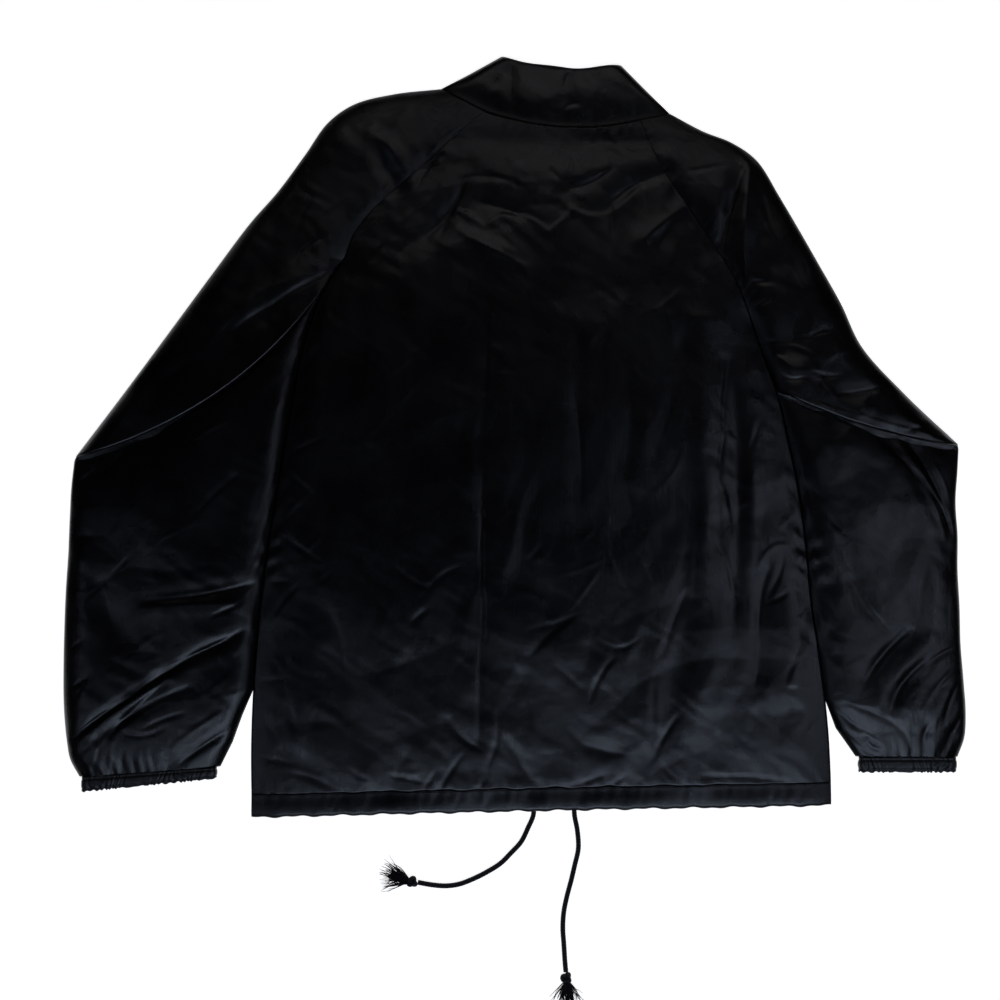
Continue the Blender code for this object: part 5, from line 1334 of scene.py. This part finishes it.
def make_collar(necks, seam):
    """Collar turned up: one skin from the left front end, round its fold, over the back, to the right end.

    Each line across it runs straight from the neckline to the free edge; the upper layer rises as a quarter
    ellipse from the two folds, and starts at the height of the seam's points.
    """
    lift = np.linspace(0, 1, COLLAR_ROWS)[:, None]
    share = 0.5 * (1 - np.cos(math.pi * np.linspace(0, 1, COLLAR_COLUMNS)))
    low_x = COLLAR_LEFT_NECK[0] + (COLLAR_RIGHT_NECK[0] - COLLAR_LEFT_NECK[0]) * share
    low_y = neckline(low_x) + LAP
    high_x = COLLAR_LEFT_TIP[0] + (COLLAR_RIGHT_TIP[0] - COLLAR_LEFT_TIP[0]) * share
    high_y = COLLAR_LEFT_TIP[1] + (COLLAR_RIGHT_TIP[1] - COLLAR_LEFT_TIP[1]) * share
    waves = COLLAR_WAVE * np.sin(high_x / COLLAR_WAVE_RUN)
    high_y = high_y + COLLAR_TOP_DIP * np.sin(math.pi * share) + waves
    x, y = low_x + (high_x - low_x) * lift, low_y + (high_y - low_y) * lift
    width = (x[:, -1] - x[:, 0])[:, None]
    from_edge = np.minimum(share, 1 - share)[None, :] * width
    rise = np.sqrt(1 - (1 - np.clip(from_edge / COLLAR_END_ROLL, 0, 1)) ** 2)
    height = COLLAR_END_HEIGHT + (COLLAR_LOFT - EDGE_HEIGHT + COLLAR_TOP_SWELL * lift) * rise
    held = 1 - np.exp(-((from_edge / COLLAR_END_SMOOTH) ** 2))
    from_seam = lift * np.hypot(high_x - low_x, high_y - low_y)
    height = height + held * relief(x, y, CREASES_ABOVE)
    height = height + 0.25 * np.sin(x / 3.2 + np.sin(x / 11)) * np.exp(-from_seam / 7) * rise
    height = height - COLLAR_TOP_DROP * np.exp(-(((1 - lift) / 0.04) ** 2)) * rise
    height = keep_above(height, EDGE_HEIGHT + LOWEST_COLLAR * rise)
    grids = [place(x, y, from_edge_of(seam, x, height, from_seam - LAP, 16))]

    angle = np.radians([22.5, 45, 67.5, 90])[None, :]
    wings = (
        (necks[0], COLLAR_LEFT_NECK, FRONT_CENTRE_X - 3, COLLAR_LEFT_TIP, COLLAR_POINTS[0], 1),
        (necks[1], COLLAR_RIGHT_NECK, FRONT_CENTRE_X + 3, COLLAR_RIGHT_TIP, COLLAR_POINTS[1], -1),
    )
    for (neck_x, neck_y), side_neck, front_end, tip, point, way in wings:
        line_x = np.concatenate([[side_neck[0]], neck_x, [front_end]])
        line_y = np.concatenate([[side_neck[1]], neck_y, [FRONT_NECK_Y]])
        lower_x, lower_y = resampled(line_x, line_y, FRONT_COLUMNS)
        along = np.linspace(0, 1, FRONT_COLUMNS)
        upper_x = tip[0] + (point[0] - tip[0]) * along
        upper_y = tip[1] + (point[1] - tip[1]) * along
        x = lower_x + (upper_x - lower_x) * lift
        y = lower_y - COLLAR_GAP + (upper_y - lower_y) * lift
        inside = ease(along / 0.15) * ease((1 - along) / 0.1)
        crumple = inside * np.clip(relief(x, y, CREASES_UNDER), 0, UNDER_LIFT)
        wing = place(x, y, crumple)[:, 2:]
        turn = place(
            x[:, :1] + way * 2.2 * (1 - np.cos(angle)),
            y[:, :1] + 0.3 * (1 - np.cos(angle)),
            COLLAR_END_HEIGHT * (1 - np.sin(angle)),
        )
        side = np.concatenate([turn, wing], axis=1)
        grids = [side[:, ::-1], *grids] if way == 1 else [*grids, side]
    grid = np.concatenate(grids, axis=1)
    normals = skin_normals(grid, (15, 130))
    lipped_skin("collar_band", grid, normals, COLLAR_CLOTH, (4, 14), (3, 3), "folded", ["floor"])


def tubes(lines, radii, sides):
    """Closed round tubes along many lines at once: points, their faces and the place on each.

    lines is (count, stations, 3) and radii (count, stations) or (count, stations, sides); each ring lies
    square to its line, level in one of its two directions.
    """
    forward = np.gradient(lines, axis=1)
    forward /= np.linalg.norm(forward, axis=-1, keepdims=True)
    level = np.cross(forward, (0.0, 0.0, 1.0))
    level /= np.linalg.norm(level, axis=-1, keepdims=True)
    over = np.cross(level, forward)
    angle = np.linspace(0, 2 * math.pi, sides, endpoint=False)[:, None]
    spoke = np.cos(angle) * level[:, :, None] + np.sin(angle) * over[:, :, None]
    radii = radii[..., None] if radii.ndim == 3 else radii[..., None, None]
    points = lines[:, :, None] + radii * spoke
    count, stations = lines.shape[:2]
    one = grid_faces(stations, sides, ring=True)
    shift = np.arange(count)[:, None, None] * stations * sides
    walls = (one[None] + shift).reshape(-1, 4)
    first = np.arange(sides)[None, :] + shift[:, 0]
    last = first[:, ::-1] + (stations - 1) * sides
    around = np.broadcast_to(angle[:, 0] / (2 * math.pi), (count, stations, sides))
    step = np.linalg.norm(np.diff(lines, axis=1), axis=-1)
    run = np.concatenate([np.zeros((count, 1)), np.cumsum(step, axis=1)], axis=1)
    uv = np.stack([around * 0.016, np.broadcast_to(run[..., None], around.shape)], axis=-1)
    return points, walls[:, ::-1].tolist() + first.tolist() + last.tolist(), uv


def stitch_lines(line, looks):
    """Centre lines of stitches along a line of points: each dips into the cloth at both of its ends."""
    step = np.linalg.norm(np.diff(line, axis=0), axis=1) / MM
    reach = np.concatenate([[0], np.cumsum(step)])
    middles = np.arange(STITCH_PITCH, reach[-1] - STITCH_PITCH / 2, STITCH_PITCH)[:, None]
    bend = np.array([-1, -0.6, 0, 0.6, 1])[None, :]
    stations = middles + bend * STITCH_LENGTH / 2
    flat = stations.ravel()
    points = np.stack([np.interp(flat, reach, line[:, axis]) for axis in range(3)], axis=-1)
    away = np.stack([np.interp(flat, reach, looks[:, axis]) for axis in range(3)], axis=-1)
    lift = (0.16 - 0.34 * np.broadcast_to(bend**2, stations.shape).ravel()) * MM
    return (points + away * lift[:, None]).reshape(*stations.shape, 3)


def make_stitches(name, runs):
    """All stitches of a row of seams as one piece of short rounded threads."""
    lines = np.concatenate([stitch_lines(*run) for run in runs])
    radii = np.broadcast_to(np.array([0.12, 0.24, THREAD_RADIUS, 0.24, 0.12]) * MM, lines.shape[:2])
    points, faces, uv = tubes(lines, radii, 5)
    return make_object(name, points, faces, uv, THREAD, [])


def beside_seam(grid, normals, distance, first):
    """The line on a skin at a distance (mm) in from its first or last column, and the way it looks."""
    if not first:
        grid, normals = grid[:, ::-1], normals[:, ::-1]
    step = np.linalg.norm(np.diff(grid[:, :12], axis=1), axis=-1) / MM
    reach = np.concatenate([np.zeros((len(grid), 1)), np.cumsum(step, axis=1)], axis=1)
    cell = np.clip((reach < distance).sum(axis=1) - 1, 0, 10)
    row = np.arange(len(grid))
    part = (distance - reach[row, cell]) / (reach[row, cell + 1] - reach[row, cell])
    part = np.clip(part, 0, 1)[:, None]
    line = grid[row, cell] * (1 - part) + grid[row, cell + 1] * part
    return line, normals[row, cell]


def cord_route(points):
    """The cord's centre line in metres: the smooth curve through its layout points, level over the floor."""
    line = smooth_line(points, 1.0)
    return place(line[:, 0], line[:, 1], np.full(len(line), CORD_REST))


def make_cord(side, points):
    """Free end of the drawcord: a tube braided of eight pairs of yarns that stand a little proud."""
    route = cord_route(points)
    length = np.linalg.norm(np.diff(route, axis=0), axis=1).sum()
    turn = np.linspace(0, 2 * math.pi, 32, endpoint=False)[None, None, :]
    wind = (np.linspace(0, length, len(route)) / (6 * MM) * 2 * math.pi)[None, :, None]
    yarns = np.abs(np.cos(4 * turn + wind)) * 0.5 + np.abs(np.cos(4 * turn - wind)) * 0.5
    radii = (CORD_DIAMETER / 2 - 0.35 + 0.45 * yarns) * MM
    points_on, faces, uv = tubes(route[None], radii, 32)
    cord = make_object(
        f"drawcord_{side}_braid", points_on, faces, uv, BRAID, [f"drawcord_{side}"]
    )
    heading = route[-1] - route[-3]
    heading = heading / np.linalg.norm(heading)
    knot, tuft = make_knot(side, route[-1], heading), make_tuft(side, route[-1], heading)


def make_knot(side, start, heading):
    """Overhand knot: the same braid along a trefoil.

    Its line is x = sin t + 2 sin 2t, y = cos t - 2 cos 2t and z = -sin 3t.
    """
    t = np.linspace(0, 2 * math.pi, 120)[:-6]
    sideways = np.array([-heading[1], heading[0], 0])
    along = (np.sin(t) + 2 * np.sin(2 * t)) * 1.35
    across = (np.cos(t) - 2 * np.cos(2 * t)) * 1.35
    up = -np.sin(3 * t) * 1.6 + CORD_REST + 2.0
    middle = start + heading * KNOT_REACH * MM * 0.75
    line = middle + heading * along[:, None] * MM + sideways * across[:, None] * MM
    line[:, 2] = up * MM
    turn = np.linspace(0, 2 * math.pi, 20, endpoint=False)[None, None, :]
    wind = (t * 5)[None, :, None]
    yarns = np.abs(np.cos(4 * turn + wind)) * 0.5 + np.abs(np.cos(4 * turn - wind)) * 0.5
    points, faces, uv = tubes(line[None], (1.9 + 0.35 * yarns) * MM, 20)
    return make_object(f"drawcord_{side}_knot", points, faces, uv, BRAID, [])


def make_tuft(side, start, heading):
    """Frayed end: tapering yarns that leave the knot together, fan out and sink to the floor."""
    chance = np.random.default_rng(5 if side == "left" else 6)
    count, stations = TUFT_STRANDS, 9
    s = np.linspace(0, 1, stations)[None, :]
    fan = chance.normal(0, 0.3, (count, 1))
    length = TUFT_LENGTH * chance.uniform(0.62, 1.1, (count, 1))
    root_side = chance.uniform(-2.4, 2.4, (count, 1))
    root_up = chance.uniform(-1.8, 2.2, (count, 1))
    curl = chance.normal(0, 2.0, (count, 1)) * np.sin(math.pi * s * chance.uniform(0.8, 1.8, (count, 1)))
    ahead = 1.15 * KNOT_REACH + length * s * np.cos(fan)
    sideways = root_side * (1 + 1.5 * s) + length * s * np.sin(fan) + curl * s
    end_height = chance.uniform(0.5, 3.2, (count, 1))
    root_height = CORD_REST + 1.2 + root_up
    height = root_height + (end_height - root_height) * ease(s * 1.2)
    level = np.array([-heading[1], heading[0], 0])
    lines = start + heading * ahead[..., None] * MM + level * sideways[..., None] * MM
    lines[..., 2] = np.clip(height, 0.55, None) * MM
    radii = chance.uniform(0.42, 0.62, (count, 1)) * (1 - 0.75 * s**1.5) * MM
    points, faces, uv = tubes(lines, radii, 4)
    nodes = [f"drawcord_end_{side}"]
    return make_object(f"drawcord_{side}_tuft", points, faces, uv, YARN, nodes)


def make_snaps():
    """Snap caps down the front: turned caps whose rolled rim stands round a shallow dome, face down."""
    radius, height = np.array(SNAP_PROFILE).T[..., None] * MM
    turn = np.linspace(0, 2 * math.pi, SNAP_SIDES, endpoint=False)
    first = FRONT_NECK_Y + FIRST_SNAP_FROM_NECK
    for number in range(SNAP_COUNT):
        y = first + (LAST_SNAP_Y - first) * number / (SNAP_COUNT - 1)
        centre = place(FRONT_CENTRE_X, y, 0)
        across, down = centre[0] + radius * np.cos(turn), centre[1] + radius * np.sin(turn)
        grid = np.stack(np.broadcast_arrays(across, down, height), axis=-1)
        looks = np.zeros_like(grid)
        looks[:5, :, 2] = -1
        looks[-2:, :, 2] = 1
        name = f"snap_{number + 1}"
        make_skin(f"{name}_cap", grid, looks, SNAP, [name], ring=True)


def add(tree, kind, inputs=(), **settings):
    """A node with its settings, and its inputs given as values or as sockets to link from."""
    made = tree.nodes.new(kind)
    for key, value in settings.items():
        setattr(made, key, value)
    for key, value in dict(inputs).items():
        if isinstance(value, bpy.types.NodeSocket):
            tree.links.new(value, made.inputs[key])
        else:
            made.inputs[key].default_value = value
    return made


def linear(code):
    """Linear colour with alpha from an sRGB hex code."""
    parts = np.array([int(code[i : i + 2], 16) for i in (1, 3, 5)]) / 255
    low, high = parts / 12.92, ((parts + 0.055) / 1.055) ** 2.4
    return (*np.where(parts <= 0.04045, low, high), 1.0)


def new_material(name):
    """A material with its nodes and its shader."""
    material = bpy.data.materials.new(name)
    material.use_nodes = True
    return material, material.node_tree, material.node_tree.nodes["Principled BSDF"]


# Patterns of the cloth: patches where the gloss has been rubbed, small soft wrinkles, slubs that run along
# the warp, and threads. A noise at scale 1 has features a metre wide, and a wave texture bands of 0.314 m.
PATCH_WIDTH = 62.5
WRINKLE_WIDTH = 50 / 3
SLUB_WIDTH = 10 / 7
SLUB_LENGTH = 250 / 7
SLUB_HEIGHT = 0.16
THREAD_HEIGHT = 0.04
WAVE_BAND = 0.314


def woven(name, dark, light, smooth, rough, thread, crumple, ior=1.53):
    """Plain-woven filament cloth, calendered to a gloss.

    thread is the spacing of its threads, drawn coarser than the real 0.2 mm so that it shows near to, and
    crumple is how deep the soft small wrinkles are. The eye gets a black with a low broad gloss that is
    patchy where the finish has been rubbed, and faint slubs along the warp.
    """
    material, tree, shader = new_material(name)
    cloth = add(tree, "ShaderNodeUVMap", uv_map="cloth").outputs["UV"]
    place_at = add(tree, "ShaderNodeTexCoord").outputs["Object"]
    band = WAVE_BAND / (thread * MM)
    warp = add(tree, "ShaderNodeTexWave", {"Vector": cloth, "Scale": band}, bands_direction="X")
    weft = add(tree, "ShaderNodeTexWave", {"Vector": cloth, "Scale": band}, bands_direction="Y")
    weave = add(tree, "ShaderNodeMath", {0: warp.outputs["Fac"], 1: weft.outputs["Fac"]}, operation="ADD")
    slubs = (1 / (SLUB_WIDTH * MM), 1 / (SLUB_LENGTH * MM), 1)
    stretched = add(tree, "ShaderNodeMapping", {"Vector": cloth, "Scale": slubs})
    slub = add(tree, "ShaderNodeTexNoise", {"Vector": stretched.outputs[0], "Scale": 1.0, "Detail": 2})
    patches, wrinkles = 1 / (PATCH_WIDTH * MM), 1 / (WRINKLE_WIDTH * MM)
    patch = add(tree, "ShaderNodeTexNoise", {"Vector": place_at, "Scale": patches, "Detail": 3})
    wrinkle = add(tree, "ShaderNodeTexNoise", {"Vector": place_at, "Scale": wrinkles, "Detail": 4})
    colour = add(
        tree,
        "ShaderNodeMix",
        {"Factor": patch.outputs["Fac"], "A": linear(dark), "B": linear(light)},
        data_type="RGBA",
    )
    # Mix has a Result for each data type, and that for colour is the third.
    tree.links.new(colour.outputs[2], shader.inputs["Base Color"])
    gloss = add(
        tree,
        "ShaderNodeMapRange",
        {"Value": patch.outputs["Fac"], "From Min": 0.3, "From Max": 0.7, "To Min": smooth, "To Max": rough},
    )
    tree.links.new(gloss.outputs["Result"], shader.inputs["Roughness"])
    shader.inputs["IOR"].default_value = ior
    soft = add(
        tree,
        "ShaderNodeBump",
        {"Height": wrinkle.outputs["Fac"], "Distance": crumple * MM, "Strength": 1.0},
    )
    bent = soft.outputs[0]
    lines = add(
        tree,
        "ShaderNodeBump",
        {"Height": slub.outputs["Fac"], "Distance": SLUB_HEIGHT * MM, "Strength": 0.6, "Normal": bent},
    )
    lined = lines.outputs[0]
    fine = add(
        tree,
        "ShaderNodeBump",
        {"Height": weave.outputs[0], "Distance": THREAD_HEIGHT * MM, "Strength": 0.5, "Normal": lined},
    )
    tree.links.new(fine.outputs[0], shader.inputs["Normal"])
    return material


def plain(name, code, roughness, grain_width, grain_height):
    """A surface of one colour with a fine grain."""
    material, tree, shader = new_material(name)
    place_at = add(tree, "ShaderNodeTexCoord").outputs["Object"]
    grains = 1 / (grain_width * MM)
    noise = add(tree, "ShaderNodeTexNoise", {"Vector": place_at, "Scale": grains, "Detail": 2})
    shader.inputs["Base Color"].default_value = linear(code)
    rough = add(
        tree,
        "ShaderNodeMapRange",
        {"Value": noise.outputs["Fac"], "To Min": roughness - 0.06, "To Max": roughness + 0.06},
    )
    tree.links.new(rough.outputs["Result"], shader.inputs["Roughness"])
    height = grain_height * MM
    bump = add(tree, "ShaderNodeBump", {"Height": noise.outputs["Fac"], "Distance": height, "Strength": 0.6})
    tree.links.new(bump.outputs[0], shader.inputs["Normal"])
    return material


# Nylon taffeta, woven from bright filament and calendered: almost black, with a soft gloss on each fold.
NYLON = woven("black nylon taffeta, calendered", "#020203", "#050507", 0.24, 0.32, 0.9, 0.2)
# The same cloth round a woven elastic: duller, because the elastic keeps it crumpled.
CUFF_NYLON = woven("black nylon taffeta over elastic", "#030304", "#060608", 0.38, 0.50, 0.9, 0.6)
# Spun polyester thread: a dull black that still stands out from the gloss.
THREAD = plain("spun polyester thread, black", "#060607", 0.5, 0.25, 0.05)
# Braided cotton cord: matt, blue-black where it has been washed.
BRAID = plain("braided cotton cord, dyed black", "#101218", 0.82, 5 / 13, 0.1)
# The same cord's yarns, untwisted: matter and darker, because light is lost between them.
YARN = plain("loose cotton yarn, dyed black", "#08090c", 0.9, 1 / 3, 0.05)
# Brass cap under black enamel, stamped and dipped: small sharp highlights on its rim.
SNAP = plain("stamped snap cap, black enamel", "#0c0c0d", 0.26, 10 / 9, 0.02)

back_points, back_normals = make_back()
left_sleeve, right_sleeve = make_sleeve(LEFT), make_sleeve(RIGHT)
make_cuff(LEFT, left_sleeve)
make_cuff(RIGHT, right_sleeve)
hem_points, hem_normals = make_back_casing(back_points)
necks = []
for half in (LEFT, RIGHT):
    x, y, lifted = front_lines(half)
    make_front(half, x, y, lifted)
    make_front_casing(half, x, y, lifted)
    necks.append((x[0, :FRONT_COLUMNS], y[0, :FRONT_COLUMNS]))
left_top, right_top = left_sleeve[0, :UPPER_COLUMNS], right_sleeve[0, :UPPER_COLUMNS]
make_collar(necks, np.concatenate([left_top[::-1], back_points[0], right_top]))
make_snaps()
make_cord("left", LEFT_CORD)
make_cord("right", RIGHT_CORD)

raglan = slice(2, int(RAGLAN_SHARE * len(back_points)))
make_stitches(
    "seam_stitches",
    [
        beside_seam(back_points[raglan], back_normals[raglan], STITCH_FROM_SEAM, True),
        beside_seam(back_points[raglan], back_normals[raglan], STITCH_FROM_SEAM, False),
        (hem_points[2], hem_normals[2]),
    ],
)


# The floor is a hair's breadth under the cloth that rests on it, so that their faces never coincide.
FLOOR_HALF = 6.0
FLOOR_LEVEL = -0.1 * MM
FLOOR_GLOW = 0.93
ROOM_GLOW = 0.0015


def lay_floor():
    """Plain near-white floor, a little lit from within as a cut-out's ground is."""
    ends = (-FLOOR_HALF, FLOOR_HALF)
    points = np.array([(x, y, FLOOR_LEVEL) for y in ends for x in ends])
    mesh = bpy.data.meshes.new("floor")
    mesh.from_pydata(points.tolist(), [], [(0, 1, 3, 2)])
    material, _, shader = new_material("matt white studio board")
    shader.inputs["Base Color"].default_value = linear("#f4f4f4")
    shader.inputs["Roughness"].default_value = 0.9
    shader.inputs["Emission Color"].default_value = (1, 1, 1, 1)
    shader.inputs["Emission Strength"].default_value = FLOOR_GLOW
    mesh.materials.append(material)
    floor = bpy.data.objects.new("floor", mesh)
    bpy.context.scene.collection.objects.link(floor)


# Each lamp is aimed at the place on the floor with its own aim_x, and spread is its grid's angle in degrees.
Lamp = namedtuple("Lamp", "name x y z aim_x wide deep watts colour spread")
LAMPS = [
    Lamp("north softbox", 0.1, 1.08, 1.7, 0.0, 1.3, 0.25, 1.3, "#faf9ff", 180),
    Lamp("south softbox", 0.2, -1.15, 1.7, 0.0, 1.6, 0.35, 7.2, "#d4e4ff", 180),
    Lamp("east softbox", 1.2, -0.35, 1.7, 0.45, 0.3, 1.2, 0.12, "#dce6ff", 40),
    Lamp("west softbox", -1.2, -0.75, 1.7, -0.4, 0.3, 0.7, 0.1, "#d4e4ff", 60),
]


def hang_lamps():
    """Soft lamps round the jacket and none over it, so that its middle stays the darkest."""
    for lamp in LAMPS:
        data = bpy.data.lights.new(lamp.name, "AREA")
        data.shape = "RECTANGLE"
        data.size, data.size_y = lamp.wide, lamp.deep
        data.energy = lamp.watts
        data.spread = math.radians(lamp.spread)
        data.color = linear(lamp.colour)[:3]
        light = bpy.data.objects.new(lamp.name, data)
        light.location = (lamp.x, lamp.y, lamp.z)
        aim = Vector((lamp.aim_x, 0, 0)) - light.location
        light.rotation_euler = aim.to_track_quat("-Z", "Y").to_euler()
        bpy.context.scene.collection.objects.link(light)


def light_the_room():
    """Dim room for the cloth to mirror, and a pale one behind it where the camera sees past the floor."""
    world = bpy.data.worlds.new("room")
    bpy.context.scene.world = world
    world.use_nodes = True
    tree = world.node_tree
    tree.nodes.clear()
    dim = add(tree, "ShaderNodeBackground", {"Color": linear("#e8ecf4"), "Strength": ROOM_GLOW})
    pale = add(tree, "ShaderNodeBackground", {"Color": linear("#f4f4f4"), "Strength": 1.0})
    seen = add(tree, "ShaderNodeLightPath").outputs["Is Camera Ray"]
    mixed = add(tree, "ShaderNodeMixShader", {0: seen, 1: dim.outputs[0], 2: pale.outputs[0]})
    out = add(tree, "ShaderNodeOutputWorld", {"Surface": mixed.outputs[0]})
    out.is_active_output = True


lay_floor()
hang_lamps()
light_the_room()
bpy.context.scene.view_settings.view_transform = "Standard"
